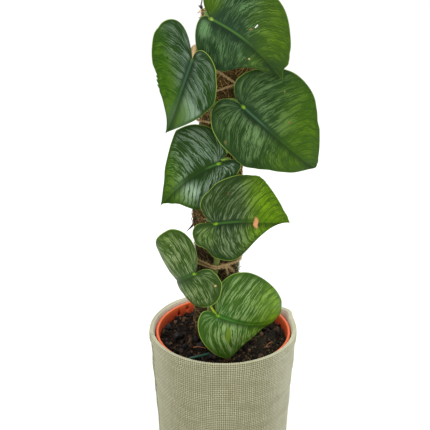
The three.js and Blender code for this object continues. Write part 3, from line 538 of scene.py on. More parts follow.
# Shape. sinus is the notch where the petiole meets the blade. aim, sweep, dip, curl, back, yaw, pitch and
# roll are angles. node is the height on the vine that the petiole grows from, and from is where its hidden
# start lies if not there. edges are margin shares with millimetres outward, for the upper (1) and lower (-1)
# half. blunt is cut off the tip. slit is side, margin share and the shares outward between which it gapes.
# Colour. cool lies near the notch and midrib, bright at the far end of glow, which runs from one x, z to
# another; glow is painted light, the yellow-green of light shining through the blade, and its round patches
# add more of this painted glow. stroke is a silver streak's width and length, plain is how rare
# they are, fade the bare margin. veined and netted are the strengths of the side veins and of the fine net.
# ribShare is the length share over which the midrib is pale. spots are x, z, half width, half height and
# colour. The broad patches of painted sheen and painted shadow are x, z, radius and how far each turns
# silver as a painted sheen (above 0) or dark as a painted shadow (below 0).
leaves = {
    "leaf_1": {
        "side": 1, "sinus": (-5, -36.5, 149.1), "length": 88, "aim": -27.2, "sweep": -20.9, "dip": 14.7,
        "curl": 57.3, "back": 10, "yaw": 5, "pitch": 15, "roll": (14, 3), "node": 52,
        "upper": half(43.5, 15.3, 16.6, 0.47, 0.04, 0.42, 15.3),
        "lower": half(34, 19.6, 25.8, 0.05, 0.85, 0, -9.7),
        "petiole": [(-10.5, -22.5, 166), (-10.8, -33.2, 156.5)], "petioleTint": srgb(150, 178, 8),
        "dark": srgb(60, 95, 23), "cool": srgb(43, 90, 30), "bright": srgb(95, 135, 12),
        "silver": srgb(124, 150, 93), "glow": ((26, 178), (60, 168)),
        "shades": [(4, 134, 12, 0.3), (-13, 139, 8, -0.45), (34, 136, 12, -0.3)],
        "netted": 0.6, "stroke": (1.3, 24), "plain": 0.79, "veins": 9,
        "rib": srgb(62, 114, 42), "ribShare": 0.25,
        "spots": [(4, 130.5, 2.4, 8, srgb(98, 126, 36))],
    },
    "leaf_2": {
        "side": -1, "sinus": (-24, -32.7, 186), "length": 56.2, "aim": -148.5, "sweep": 6.1, "dip": 6.4,
        "curl": 113.2, "back": 10, "yaw": -11, "pitch": 8, "roll": (2.5, 10), "node": 95, "from": 66,
        "upper": half(42.5, 14.1, 1.3, 0.63, 0.17, 0.14, 13),
        "lower": half(30.7, 20.5, 0.9, 0.38, 0.3, 0.25, -5.8),
        "edges": {-1: [(0, 0), (0.04, 0.5), (0.1, 0), (0.17, -0.9), (0.22, 0), (0.28, 1), (0.35, 0)]},
        "petiole": [(-12, -21, 178), (-19, -26, 179)], "petioleTint": srgb(70, 92, 36),
        "dark": srgb(54, 80, 21), "cool": srgb(46, 76, 34), "bright": srgb(72, 104, 17),
        "silver": srgb(125, 143, 94), "glow": ((-40, 205), (-66, 215)),
        "shades": [(-12, 178, 14, -0.6), (-22, 190, 7, -0.3), (-29, 176, 9, -0.25)],
        "netted": 0.75, "stroke": (0.8, 20), "plain": 0.79, "veins": 9,
        "rib": srgb(56, 88, 40), "ribShare": 0.2,
        "spots": [(-6.8, 178, 1, 1.2, srgb(186, 160, 110))],
    },
    "leaf_3": {
        "side": 1, "sinus": (-6.9, -28.8, 228.8), "length": 62.1, "aim": 7.1, "sweep": 18.9, "dip": -10,
        "curl": 20, "back": 8, "yaw": 9, "pitch": 5.5, "roll": (12, 16), "node": 118,
        "upper": half(39.5, 13.5, 33, 0.05, 0.3, 0.31, 12.1),
        "lower": half(34.6, 24.7, 10.1, 0.34, 0.46, 0, -14),
        "edges": {
            1: [(0.1, 0), (0.17, 0.5), (0.21, 0), (0.25, -0.7), (0.3, -1.8), (0.36, 0), (0.44, 0.3),
                (0.465, -0.8), (0.49, -1.9), (0.515, -2.2), (0.54, -1.7), (0.59, -0.8), (0.65, 0), (0.88, 0),
                (0.94, 0.7), (0.98, 0)],
            -1: [(0.02, 0), (0.07, 1.1), (0.14, 0), (0.22, 0), (0.251, 0.7), (0.278, 0.2), (0.311, -2.1),
                 (0.336, -3), (0.361, -2), (0.38, -0.6), (0.39, 0)],
        },
        "petiole": [(-9, -20.5, 229), (-13.5, -25.5, 231)],
        "dark": srgb(41, 65, 19), "cool": srgb(27, 48, 28), "bright": srgb(82, 117, 1),
        "silver": srgb(107, 126, 87), "glow": ((10, 240), (33, 240)),
        "shades": [(4, 249, 15, -0.9), (-17, 219, 12, 0.2)],
        "warm": [(-16, 220, 11, 0.27)], "netted": 0.55, "stroke": (0.62, 12), "plain": 0.81, "veins": 9,
        "rib": srgb(58, 98, 36), "ribShare": 0.45,
        "spots": [(26, 229, 2.5, 4.6, srgb(192, 136, 92)), (34.3, 261, 0.9, 0.9, srgb(120, 158, 96)),
                  (3.2, 254, 0.8, 2, srgb(84, 66, 48))],
    },
    "leaf_4": {
        "side": -1, "sinus": (-4.1, -19, 276.6), "length": 64.2, "aim": -160.7, "sweep": 38, "dip": -6.5,
        "curl": 24, "back": 8, "yaw": -6, "pitch": 4.5, "roll": (12, 16), "node": 172,
        "upper": half(38.2, 12.1, 17.3, 0.05, 0.43, 0.1, 5.8),
        "lower": half(27.1, 23.4, 37.3, 0.53, 0.65, 0.19, -7.1),
        "edges": {
            1: [(0.03, 0), (0.07, 4.4), (0.1, 1.5), (0.13, -0.9), (0.2, 0), (0.32, -0.7), (0.38, 0),
                (0.43, 0.5), (0.5, 0), (0.7, 0), (0.77, 0.5), (0.84, 0)],
            -1: [(0, 0), (0.04, 0.7), (0.1, 0), (0.18, 0.6), (0.25, 0), (0.72, 0), (0.79, -0.6), (0.835, 0),
                 (0.88, 0.8), (0.93, 0), (0.97, -0.7), (1, 0)],
        },
        "petiole": [(4.5, -16, 279.5), (2.5, -16.2, 277.5)], "petioleTint": srgb(120, 150, 40),
        "dark": srgb(39, 68, 15), "cool": srgb(33, 53, 32), "bright": srgb(55, 89, 10),
        "silver": srgb(128, 149, 128), "glow": ((-34, 294), (-52, 288)),
        "shades": [(-31, 254, 12, 1.3), (-23, 264.5, 10, -1), (-14, 270, 11, -1), (-23, 290, 22, -0.7)],
        "stroke": (0.62, 12), "plain": 0.81, "veins": 9, "rib": srgb(62, 102, 44), "ribShare": 0.22,
    },
    "leaf_5": {
        "side": 1, "sinus": (14.5, -22.5, 323.5), "length": 93.3, "aim": -43.3, "sweep": -5.4, "dip": -8,
        "curl": 46, "back": 8, "yaw": 10, "pitch": 4.5, "roll": (16, 14), "node": 216, "blunt": 1.6,
        "upper": half(47.1, 23.1, 24.9, 0.39, 0.19, 0.23, -2.6),
        "lower": half(35.8, 23.4, 22.9, 0.24, 0.14, 0.19, 0.5),
        "edges": {
            1: [(0.1, 0), (0.16, 0.7), (0.22, 0), (0.29, -0.9), (0.38, 0), (0.45, 0.6), (0.52, 0), (0.62, 0.7),
                (0.67, -0.1), (0.716, -1.3), (0.764, 0.1), (0.9, 0), (0.942, 0.7), (0.97, 0)],
            -1: [(0, 0), (0.05, 0.9), (0.11, 0), (0.17, -0.7), (0.26, 0), (0.35, 0.6), (0.41, 0), (0.48, -1.2),
                 (0.535, 0), (0.585, 1.2), (0.64, 0), (0.69, -1), (0.75, 0), (0.81, 0.5), (0.87, 0)],
        },
        "petiole": [(-5, -20, 326.5), (7, -19.5, 328.5)],
        "dark": srgb(36, 63, 20), "cool": srgb(30, 53, 36), "bright": srgb(53, 87, 1),
        "silver": srgb(86, 112, 68), "glow": ((30, 316), (64, 306)),
        "stroke": (0.62, 12), "plain": 0.82, "veins": 11, "veined": 0.7,
        "rib": srgb(64, 96, 66), "ribShare": 0.35,
        "shades": [(50, 309, 10, 0.5), (24, 300, 9, 0.5), (19, 330, 13, -0.4)],
        "spots": [(50.7, 310, 0.9, 1, srgb(120, 96, 44)), (46.8, 334, 0.8, 0.9, srgb(104, 104, 58)),
                  (1, 296, 1.4, 1.8, srgb(88, 90, 44))],
    },
    "leaf_6": {
        "side": -1, "sinus": (-24.3, -27.3, 360.6), "length": 61.5, "aim": -108.1, "sweep": -3.8, "dip": -5,
        "curl": 8, "back": 16, "yaw": -19, "pitch": 4, "roll": (16, 10), "node": 261,
        "upper": half(36.6, 25.1, -7.8, 0.48, 0.42, 0.09, 14.2),
        "lower": half(26.9, 13.1, 24.5, 0.36, 0.08, 0.01, -3.3),
        "edges": {
            1: [(0.38, 0), (0.44, -0.7), (0.475, 0), (0.51, 0.7), (0.57, 0), (0.643, -0.2), (0.665, -2.6),
                (0.683, -4.4), (0.69, -1.8), (0.705, -3.5), (0.718, -0.8), (0.739, -2.4), (0.751, 0.6),
                (0.768, -1), (0.785, 0.3), (0.82, -0.6), (0.88, 0)],
            -1: [(0.33, 0), (0.39, -0.7), (0.44, 0), (0.49, 0.9), (0.54, 0), (0.59, -0.6), (0.65, 0)],
        },
        "petiole": [(-17.5, -15.5, 370), (-23, -21.5, 367.5)], "sheath": 1.6,
        "dark": srgb(33, 64, 13), "cool": srgb(36, 56, 40), "bright": srgb(43, 79, 0),
        "silver": srgb(101, 120, 100), "fade": 3.5, "glow": ((-36, 372), (-50, 368)),
        "heart": srgb(70, 100, 46),
        "shades": [(-39.5, 320.5, 9, 0.55), (-39, 380, 12, -0.3), (-35, 316, 15, 2.4)],
        "stroke": (0.62, 14), "plain": 0.79, "veins": 9, "veined": 0.45,
        "rib": srgb(60, 86, 66), "ribShare": 0.7,
    },
    "leaf_7": {
        "side": 1, "sinus": (-10.3, -24, 390.1), "length": 73.8, "aim": -26, "sweep": 27.6, "dip": -10,
        "curl": 28, "back": 8, "yaw": 6, "pitch": 5.5, "roll": (16, 22), "node": 281,
        "upper": half(42.3, 15.1, 10.4, 0.69, 0.09, 0, 8.9),
        "lower": half(31.9, 11, 14.1, 0.56, 0.9, 0.67, -7.4),
        "edges": {
            1: [(0.57, 0), (0.63, 0.9), (0.72, 0), (0.79, 0.6), (0.82, 1.4), (0.845, 1.3), (0.88, -1.2),
                (0.9, -1.2), (0.94, 0)],
            -1: [(0.7, 0), (0.76, 0.6), (0.8, 0), (0.85, -0.9), (0.9, 0.4), (0.93, 1.8), (0.95, 2.6),
                 (0.96, 1.7), (0.985, -1.9), (0.995, -1), (1, 0)],
        },
        "petiole": [(-13, -18, 394), (-14.5, -21.5, 394)],
        "dark": srgb(38, 64, 30), "cool": srgb(35, 58, 39), "bright": srgb(64, 94, 7),
        "silver": srgb(82, 113, 72), "glow": ((12, 394), (42, 390)),
        "shades": [(-18, 386, 9, 0.8), (37, 354, 13, -0.7)],
        "warm": [(-12, 402, 10, 0.9)], "heart": srgb(146, 176, 74), "stroke": (0.62, 13), "plain": 0.84,
        "veins": 10, "veined": 0.5, "rib": srgb(72, 112, 46), "ribShare": 0.55,
        "spots": [(18.4, 361, 0.8, 0.9, srgb(160, 150, 100)), (19.6, 382.6, 1.5, 0.7, srgb(130, 100, 60))],
        "slit": (1, 0.6, 0.3, 0.38),
    },
}

blade = {
    "thickness": 0.85,
    "edgeThinning": 0.5,  # share of the thickness that the margin loses
    "rays": 150,
    "rows": 38,
    "rowSpread": 1.2,  # above 1 the rows lie closer near the midrib
    "lobeShare": 0.35,  # share of the margin whose rays start at the notch
    "groove": 1.5,
    "grooveReach": 6,
    "ribLine": 0.4,  # depth and half width of the sunken line over the midrib
    "ribLineReach": 0.9,
    "quilt": 0.42,
    "wave": 0.45,
    "waves": 2.5,
    "ripple": 0.12,
    "ripples": 7,
    "veinBend": (0.02, 0.11),  # how the side veins turn back on their way out
    "veinStray": 0.012,
    "endFade": 14,
    "leastReach": 0.4,
    "fineVeins": 1.6,  # millimetres between the fine side veins
    "netCell": (2.6, 4.2),  # width and length
    "petioleTint": srgb(86, 118, 34),
    "heart": srgb(122, 164, 34),
    "netted": 0.3,
    "fade": 7,
}
stalk = {
    "petioleRadius": 1.45,
    "radius": 1.1,
    "tipRadius": 0.4,
    "petioleShare": 0.22,
    "foot": (0.5, 0.02),  # how much wider the foot is, and over which share
    "collar": 2,
    "sunk": 0.7,  # share of the radius by which the rib stands under the blade
    "ribAt": (0.01, 0.1, 0.25, 0.45, 0.65, 0.8),  # shares of the blade's length
    "sheath": (0.12, 0.22),  # where a dry sheath starts and how long it is
    "dryUntil": 0.32,
    "ridge": 0.05,
    "sides": 12,
    "steps": 90,
}


def bezier(corners, t):
    s = 1 - t
    weights = (s ** 3, 3 * s * s * t, 3 * s * t * t, t ** 3)
    return [sum(weight * corner[k] for weight, corner in zip(weights, corners)) for k in (0, 1)]


def marginPoint(leaf, side, share):
    # the margin of one half, from the notch (0) by the widest place (0.5) to the tip (1)
    form = leaf["upper"] if side > 0 else leaf["lower"]
    width, lobe, widest, length = form["width"], form["lobe"], form["widest"], leaf["length"]
    ahead = length - widest
    if share < 0.5:
        rounded = (widest - 0.85 * (widest + lobe), width)
        lobeEnd = (-1.45 * lobe, 0.05 * width + form["notch"])
        along, across = bezier([(0, 0), lobeEnd, rounded, (widest, width)], 2 * share)
    else:
        full = (widest + form["shoulder"] * ahead, width)
        near = (length - form["tip"] * ahead, form["fullness"] * width)
        along, across = bezier([(widest, width), full, near, (length, 0)], 2 * share - 1)
    return along, side * across


def bendInto(length, curvature, startAngle):
    # how far along and out a curve of even bend comes, and its angle there
    bend = curvature if abs(curvature) > 1e-6 else 1e-6
    angle = startAngle + bend * length
    along = (math.sin(angle) - math.sin(startAngle)) / bend
    out = (math.cos(angle) - math.cos(startAngle)) / bend
    return along, out, angle


def leafAxes(leaf):
    yaw, pitch, aim = [math.radians(leaf[key]) for key in ("yaw", "pitch", "aim")]
    normal = Vector((math.sin(yaw), -math.cos(yaw), math.tan(pitch))).normalized()
    right = Vector((math.cos(yaw), math.sin(yaw), 0))
    along = right * math.cos(aim) + normal.cross(right) * math.sin(aim)
    return normal, along, normal.cross(along) * leaf["side"]


def bladePoint(leaf, axes, flatAlong, flatAcross, lift):
    normal, along, across = axes
    sweptAlong, sweptOut, sweptAngle = bendInto(flatAlong, math.radians(leaf["sweep"]) / leaf["length"], 0)
    a = sweptAlong + flatAcross * math.sin(sweptAngle)
    b = sweptOut + flatAcross * math.cos(sweptAngle)
    curl = math.radians(leaf["curl"] if a >= 0 else leaf["back"]) / leaf["length"]
    arcAlong, arcOut, arcAngle = bendInto(a, curl, math.radians(leaf["dip"]))
    form, turn = (leaf["upper"], leaf["roll"][0]) if b >= 0 else (leaf["lower"], leaf["roll"][1])
    rolledAlong, rolledOut, _ = bendInto(abs(b), math.radians(turn) / form["width"], 0)
    groove = blade["groove"] * (1 - math.exp(-((b / blade["grooveReach"]) ** 2)))
    bentNormal = normal * math.cos(arcAngle) + along * math.sin(arcAngle)
    base = Vector(leaf["sinus"]) + along * arcAlong + normal * arcOut
    return base + across * math.copysign(rolledAlong, b) + bentNormal * (rolledOut + groove + lift)


def smoothStep(value, low, high):
    share = min(max((value - low) / (high - low), 0), 1)
    return share * share * (3 - 2 * share)


def edgeShift(leaf, side, share):
    # how far the margin's bites, teeth and waves move it outward here
    edges = leaf.get("edges", {}).get(side, [])
    for (low, first), (high, second) in zip(edges, edges[1:]):
        if low <= share < high:
            return first + (second - first) * smoothStep(share, low, high)
    return 0


def veinPlace(leaf, side, share, out):
    # the same along one curved side vein
    first, second = blade["veinBend"]
    bend = (first * out + second * out * out) * min(share / blade["lobeShare"], 1)
    stray = noise.noise(Vector((5 * share, 1.6 * out, leaf["sinus"][2] + 7 * side)))
    return share - bend + blade["veinStray"] * stray


def bladeRow(leaf, side, ray, row):
    # one point's place on the flat blade, with its relief, map and marks
    share, out = ray / blade["rays"], (row / blade["rows"]) ** blade["rowSpread"]
    foot = leaf["length"] * min(max((share - blade["lobeShare"]) / (1 - blade["lobeShare"]), 0), 1)
    along, across = marginPoint(leaf, side, share)
    span = math.hypot(along - foot, across)
    shift = edgeShift(leaf, side, share) / span if span > 0.01 else 0
    reach = out * max(1 + shift * out * out, blade["leastReach"])
    tip = leaf["length"] - leaf.get("blunt", 0)
    flat = (min(foot + (along - foot) * reach, tip), across * reach)
    vein = veinPlace(leaf, side, share, out)
    ends = min(1, blade["endFade"] * share * (1 - share))
    hump = abs(math.sin(math.pi * leaf["veins"] * vein)) ** 0.7 - 0.6
    relief = blade["quilt"] * hump * math.sin(math.pi * min(out, 0.999)) ** 0.6 * ends
    swing = math.sin(math.tau * blade["waves"] * share + side) * math.sin(math.pi * share)
    ripple = math.sin(math.tau * blade["ripples"] * share + 2 * side + leaf["length"]) * ends
    relief += blade["wave"] * swing * out * out + blade["ripple"] * ripple * out ** 3
    sunken = math.exp(-((flat[1] / blade["ribLineReach"]) ** 2)) * smoothStep(flat[0], 0, 3)
    relief -= blade["ribLine"] * sunken * ends
    thickness = blade["thickness"] * (1 - blade["edgeThinning"] * out ** 5)
    return {
        "flat": flat, "relief": relief, "thickness": thickness, "map": (vein, out),
        "fromMargin": span * (1 - out), "acrossRib": flat[1], "fromNotch": flat[0],
    }


def bladeMesh(name, leaf, upperFinish, underFinish):
    rays, rows, axes = blade["rays"], blade["rows"], leafAxes(leaf)
    points, faces, finishAt, corners, mapAt = [], [], [], [], []
    marks = {"fromMargin": [], "acrossRib": [], "fromNotch": []}
    for side in (1, -1):
        first = len(points)
        for face in (1, -1):
            for ray in range(rays + 1):
                for row in range(rows + 1):
                    spot = bladeRow(leaf, side, ray, row)
                    lift = spot["relief"] + face * spot["thickness"] / 2
                    points.append(bladePoint(leaf, axes, *spot["flat"], lift))
                    mapAt.append(spot["map"])
                    for key in marks:
                        marks[key].append(spot[key])

        def at(face, ray, row):
            return first + (face * (rays + 1) + ray) * (rows + 1) + row

        def add(*loop, finish=0):
            turned = loop if side * leaf["side"] < 0 else loop[::-1]
            faces.append(turned)
            finishAt.append(finish)
            corners.extend(mapAt[corner] for corner in turned)

        cutAway = slitCells(leaf, side)
        for ray in range(rays):
            for row in range(rows):
                if (ray, row) in cutAway:
                    continue
                cell = [(ray, row), (ray + 1, row), (ray + 1, row + 1), (ray, row + 1)]
                add(*(at(0, *corner) for corner in cell))
                add(*(at(1, *corner) for corner in reversed(cell)), finish=1)
                beside = [(ray, row - 1), (ray + 1, row), (ray, row + 1), (ray - 1, row)]
                for k, neighbour in enumerate(beside):
                    if neighbour in cutAway or (k == 2 and row == rows - 1):
                        one, two = cell[k], cell[(k + 1) % 4]
                        add(at(0, *two), at(0, *one), at(1, *one), at(1, *two))
    mesh = meshOf(name, points, faces, [upperFinish, underFinish], finishAt, marks, {"veins": corners})
    return tidied(mesh)


def slitCells(leaf, side):
    # the mesh cells that a slit in the blade leaves out
    if "slit" not in leaf or leaf["slit"][0] != side:
        return set()
    _, share, low, high = leaf["slit"]
    ray = round(share * blade["rays"])
    rows = range(blade["rows"])
    return {(ray, row) for row in rows if low < (row / blade["rows"]) ** blade["rowSpread"] < high}


# How a leaf's two faces look


def bladeLook(g, leaf, under):
    vein, out, _ = g.map("veins")
    place = g.place()
    x, _, z = g.parts(place)
    fromMargin, acrossRib, fromNotch = g.mark("fromMargin"), g.mark("acrossRib"), g.mark("fromNotch")
    fromRib = g.maths("ABSOLUTE", acrossRib)
    strokeWidth, strokeLength = leaf["stroke"]
    seed, length = leaf["sinus"][2], leaf["length"]
    across, outward = vein * (1.9 * length), out * leaf["upper"]["width"]
    wander = g.noise(g.vector(across / 6, outward / 10, seed + 3), 1.0, 2.0) - 0.5
    line = g.maths("ABSOLUTE", g.maths("FRACT", vein * (2 * leaf["veins"]) + wander * 0.9 + 0.5) - 0.5)
    between = 1 - g.fall(line, 0.03, 0.2) * leaf.get("veined", 1)
    waver = g.noise(place, 0.28, 1.0) * 3 + g.noise(place, 0.9, 1.0) * 0.9
    thin = g.maths("ABSOLUTE", g.maths("FRACT", (across + waver) / blade["fineVeins"]) - 0.5)
    beside = g.ramp(thin, 0.04, 0.25)
    stroke = g.noise(g.vector((across + waver) / strokeWidth, outward / strokeLength, seed), 1.0, 2.0, 0.5)
    patch = g.noise(g.vector(across / 9, outward / 13, seed + 5), 1.0, 1.5)
    mottle = g.noise(place, 0.12, 3.0)
    # Broad patches of painted light: lift gathers the painted silvery sheen, shadow the painted shadow
    lift, shadow = 0, 0
    for shadeX, shadeZ, radius, share in leaf.get("shades", []):
        near = g.length(g.vector(x - shadeX, 0, z - shadeZ)) / radius
        soft = g.fall(near + (stroke - 0.5) * 0.8, 0.2, 1.4) * abs(share)
        lift, shadow = (lift + soft, shadow) if share > 0 else (lift, shadow + soft)
    silver = g.ramp(stroke + 0.6 * patch + lift * 0.3, leaf["plain"] - 0.05, leaf["plain"] + 0.1)
    silver = silver * between * (beside * 0.5 + 0.5)
    silver = silver * g.ramp(fromMargin, 0.8, leaf.get("fade", blade["fade"])) * g.ramp(fromRib, 1, 4)
    # glow is painted light: the yellow-green of light shining through the blade, rising along its line and in
    # round painted patches; streaks in it turn to the lit colour
    (x0, z0), (x1, z1) = leaf["glow"]
    reach = math.hypot(x1 - x0, z1 - z0)
    towards = (x - x0) * ((x1 - x0) / reach ** 2) + (z - z0) * ((z1 - z0) / reach ** 2)
    glow = g.ramp(towards + (mottle - 0.5) * 0.5, -0.1, 1.1)
    for glowX, glowZ, radius, share in leaf.get("warm", []):
        near = g.length(g.vector(x - glowX, 0, z - glowZ)) / radius
        glow = g.maths("MINIMUM", glow + g.fall(near + (mottle - 0.5) * 0.8, 0.3, 1.4) * share, 1)
    dark, bright, pewter = leaf["dark"], leaf["bright"], leaf["silver"]
    deep = (dark[0] * 0.6, dark[1] * 0.66, dark[2] * 0.68, 1)
    colour = g.blend(g.ramp(mottle * 0.6 + patch * 0.4, 0.36, 0.62), deep, dark)
    colour = g.blend(g.fall(fromRib, 2, 16) * 0.7, colour, leaf["cool"])
    colour = g.blend(glow, colour, bright)
    colour = g.blend((1 - between * beside) * 0.5, colour, deep)
    cellWidth, cellLength = blade["netCell"]
    cells = g.net(g.vector((across + waver * 0.5) / cellWidth, outward / cellLength, seed))
    netted = g.fall(cells, 0.03, 0.16) * g.fall(fromMargin, 2, 14) * g.ramp(fromMargin, 0.3, 1.2)
    colour = g.blend(netted * leaf.get("netted", blade["netted"]), colour, deep)
    # Painted sheen and painted shadow from the broad patches; under the painted sheen the streaks turn shining
    colour = g.blend(lift * 0.1, colour, pewter)
    colour = g.blend(shadow, colour, deep)
    lit = (bright[0] * 1.9 + 0.02, bright[1] * 1.6 + 0.02, bright[2] * 2 + 0.004, 1)
    shining = tuple(channel * 1.8 for channel in pewter[:3]) + (1,)
    streak = g.blend(glow, g.blend(lift, pewter, shining), lit)
    colour = g.blend(silver * (0.95 - glow * 0.3) * (1 - shadow * 0.6), colour, streak)
    # Painted shade along the lower side of the midrib's groove, where the blade turns away from the light
    crease = g.ramp(acrossRib * -1, 0.6, 1.6) * g.fall(acrossRib * -1, 2.5, 7) * g.ramp(fromNotch, -3, 4)
    colour = g.blend(crease * 0.6, colour, (deep[0] * 0.45, deep[1] * 0.5, deep[2] * 0.5, 1))
    pale = leaf["ribShare"] * length
    ribbed = g.fall(fromRib, 0.4, 1.2) * g.ramp(fromNotch, -0.5, 1) * g.fall(fromNotch, 0.5 * pale, pale)
    colour = g.blend(ribbed * 0.7, colour, leaf["rib"])
    fromHeart = g.length(g.vector(fromNotch * 0.6, acrossRib, 0))
    colour = g.blend(g.fall(fromHeart, 0.5, 1.7) * 0.8, colour, leaf.get("heart", blade["heart"]))
    # The pale margin line is the leaf's own; its extra strength near the notch is painted light on the margins
    # that face the light
    edge = g.fall(fromMargin, 0.2, 0.8) * (0.75 - 0.5 * g.ramp(fromNotch, 5, 30))
    colour = g.blend(edge, colour, srgb(146, 172, 76))
    for spotX, spotZ, halfWidth, halfHeight, tint in leaf.get("spots", []):
        ragged = (waver - 1.95) * 0.45
        right, up = (x - spotX) / halfWidth + ragged, (z - spotZ) / halfHeight - ragged * 0.5
        away = g.length(g.vector(right, wander * 1.5, up))
        colour = g.blend(g.fall(away, 0.6, 1.15), colour, tint)
    if under:
        colour = g.blend(0.55, colour, srgb(122, 146, 96))
    grain = g.noise(place, 1.6, 2.0)
    relief = 0.10 * stroke + 0.04 * grain + 0.05 * between + 0.05 * beside - netted * 0.08
    rough = 0.46 + 0.16 * silver + 0.12 * (grain - 0.5)
    return {"Base Color": colour, "Roughness": rough, "Specular IOR Level": 0.08}, relief


def stalkLook(g, tint):
    place = g.place()
    ridged = g.noise(g.vectorMaths("MULTIPLY", place, (3.0, 3.0, 0.5)), 1.0, 2.0)
    tone = g.noise(place, 0.09, 2.0)
    colour = g.blend(g.ramp(tone, 0.35, 0.65), tint, (tint[0] * 0.6, tint[1] * 0.65, tint[2], 1))
    colour = g.blend(g.ramp(ridged, 0.55, 0.75) * 0.3, colour, (tint[0] * 1.5, tint[1] * 1.3, tint[2] * 1.6, 1))
    papery = g.blend(g.ramp(ridged, 0.35, 0.65), srgb(164, 120, 72), srgb(206, 182, 134))
    colour = g.blend(g.mark("dry"), colour, papery)
    return {"Base Color": colour, "Roughness": 0.42 + 0.15 * ridged}, 0.12 * ridged


vine = {
    "radius": 2.7,
    "fromAxis": 20.8,
    "path": [  # height above the pole's foot, and how far right of its axis
        (-26, -4), (10, -4.3), (50, -4), (82, -0.3), (114, 1.1), (150, 1.4), (168, 0.8),
        (203, -6.8), (231, -13.2), (261, -13.8), (281, -10.9), (291, -8.6),
    ],
    "sides": 18,
    "steps": 420,
    "nodeProud": 0.5,
    "nodeReach": 3,
    "tipLength": 12,
    "tipRadius": 0.8,
    "youngSlimmer": 0.18,
    "ridge": 0.12,
    "ridges": 6,
    "scar": (0.28, 1.5, 0.7),  # height, drop below the node and half width of a leaf's ring
}


def stemPoint(z):
    # the middle of the stem at this height, in the pole's frame
    path = vine["path"]
    i = 1
    while i < len(path) - 1 and z > path[i][0]:
        i += 1
    share = min(max((z - path[i - 1][0]) / (path[i][0] - path[i - 1][0]), 0), 1)
    right = path[i - 1][1] + (path[i][1] - path[i - 1][1]) * share
    return Vector((right, -math.sqrt(vine["fromAxis"] ** 2 - right ** 2), z))


def stemRadius(z):
    bottom, top = vine["path"][0][0], vine["path"][-1][0]
    tip = min(max((top - z) / vine["tipLength"], 0), 1)
    slim = vine["tipRadius"] + (vine["radius"] - vine["tipRadius"]) * math.sqrt(tip)
    young = 1 - vine["youngSlimmer"] * (z - bottom) / (top - bottom)
    swell = sum(math.exp(-(((z - leaf["node"]) / vine["nodeReach"]) ** 2)) for leaf in leaves.values())
    return slim * young + vine["nodeProud"] * min(swell, 1) * tip


def stalkPart(leaf):
    # petiole and midrib as one tapering stalk
    node = stemPoint(leaf.get("from", leaf["node"]))
    outward = Vector((node.x, node.y, 0)).normalized()
    seat = stemRadius(leaf["node"]) + pole["touchGap"]
    start, collar = [poleFrame @ (node + outward * (seat + more)) for more in (0, stalk["collar"])]
    axes = leafAxes(leaf)
    under = -blade["thickness"] / 2 - stalk["sunk"] * stalk["radius"]
    rib = [bladePoint(leaf, axes, leaf["length"] * share, 0, under) for share in stalk["ribAt"]]
    path = smoothPath([start, collar, *leaf["petiole"], *rib], stalk["steps"])
    thick, slender, until = stalk["petioleRadius"], stalk["radius"], stalk["petioleShare"]
    wider, footShare = stalk["foot"]
    sheathStart, sheathSpan = stalk["sheath"]

    def radiusAt(share, angle):
        if share < until:
            radius = thick + (slender - thick) * share / until
            radius += wider * math.exp(-((share / footShare) ** 2))
        else:
            radius = slender + (stalk["tipRadius"] - slender) * ((share - until) / (1 - until))
        sheathed = min(max((share - sheathStart) / sheathSpan, 0), 1)
        radius += leaf.get("sheath", 0) * math.sin(math.pi * sheathed)
        return radius * (1 + stalk["ridge"] * math.cos(5 * angle))

    made = tube(path, radiusAt, stalk["sides"])
    dryPoints = stalk["dryUntil"] * len(path) if "sheath" in leaf else 0
    made["marks"] = {"dry": [float(i // stalk["sides"] < dryPoints) for i in range(len(made["points"]))]}
    return made


for name, leaf in leaves.items():
    stalkFinish = finishOf(name + "_petiole", stalkLook, leaf.get("petioleTint", blade["petioleTint"]))
    faceFinish = finishOf(name + "_face", bladeLook, leaf, False)
    backFinish = finishOf(name + "_back", bladeLook, leaf, True)
    settle(name + "_blade", bladeMesh(name + "_blade", leaf, faceFinish, backFinish), "leaf", name)
    settleJoined(name + "_stalk", [stalkPart(leaf)], stalkFinish, "leaf", name)
print("leaves grown:", len(leaves))

# Vine and its clinging roots

root = {
    "radius": 0.8,
    "tipRadius": 0.3,
    "sweep": 46,
    "drop": 6,
    "sides": 8,
    "steps": 30,
    "stray": 0.5,
    "seed": 7,
}
roots = [  # height, and the side that it clings round: 1 right, -1 left
    (22, -1), (38, 1), (60, -1), (62, 1), (106, 1), (121, -1), (144, 1), (162, -1), (184, 1), (196, -1),
    (266, 1),
]


def vineLook(g):
    place = g.place()
    streaks = g.noise(g.vectorMaths("MULTIPLY", place, (1.6, 1.6, 0.25)), 1.0, 3.0)
    tone = g.noise(place, 0.05, 2.0)
    colour = g.blend(g.ramp(tone, 0.35, 0.65), srgb(116, 138, 62), srgb(96, 104, 52))
    colour = g.blend(g.ramp(streaks, 0.52, 0.7) * 0.6, colour, srgb(122, 96, 56))
    colour = g.blend(g.mark("woody") * 0.8, colour, srgb(128, 98, 62))
    return {"Base Color": colour, "Roughness": 0.5 + 0.2 * streaks}, 0.3 * streaks


def clingingRoot(height, side):
    start = stemPoint(height)
    startAngle = math.atan2(start.y, start.x)
    clear = coirOutside + pole["touchGap"] + root["radius"]
    points = [start]
    for i in range(1, 4):
        angle = startAngle + side * math.radians(root["sweep"]) * i / 3
        points.append(compass(angle, clear, height - root["drop"] * i / 3))
    path = smoothPath(points, root["steps"])
    stray, last = root["stray"], len(path)
    path = [point + noise.noise_vector(point * 0.25) * stray * i / last for i, point in enumerate(path)]
    slim = root["tipRadius"] - root["radius"]
    path = [poleFrame @ point for point in path]
    made = tube(path, lambda share, angle: root["radius"] + slim * share, root["sides"])
    made["marks"] = {"woody": [1.0] * len(made["points"])}
    return made


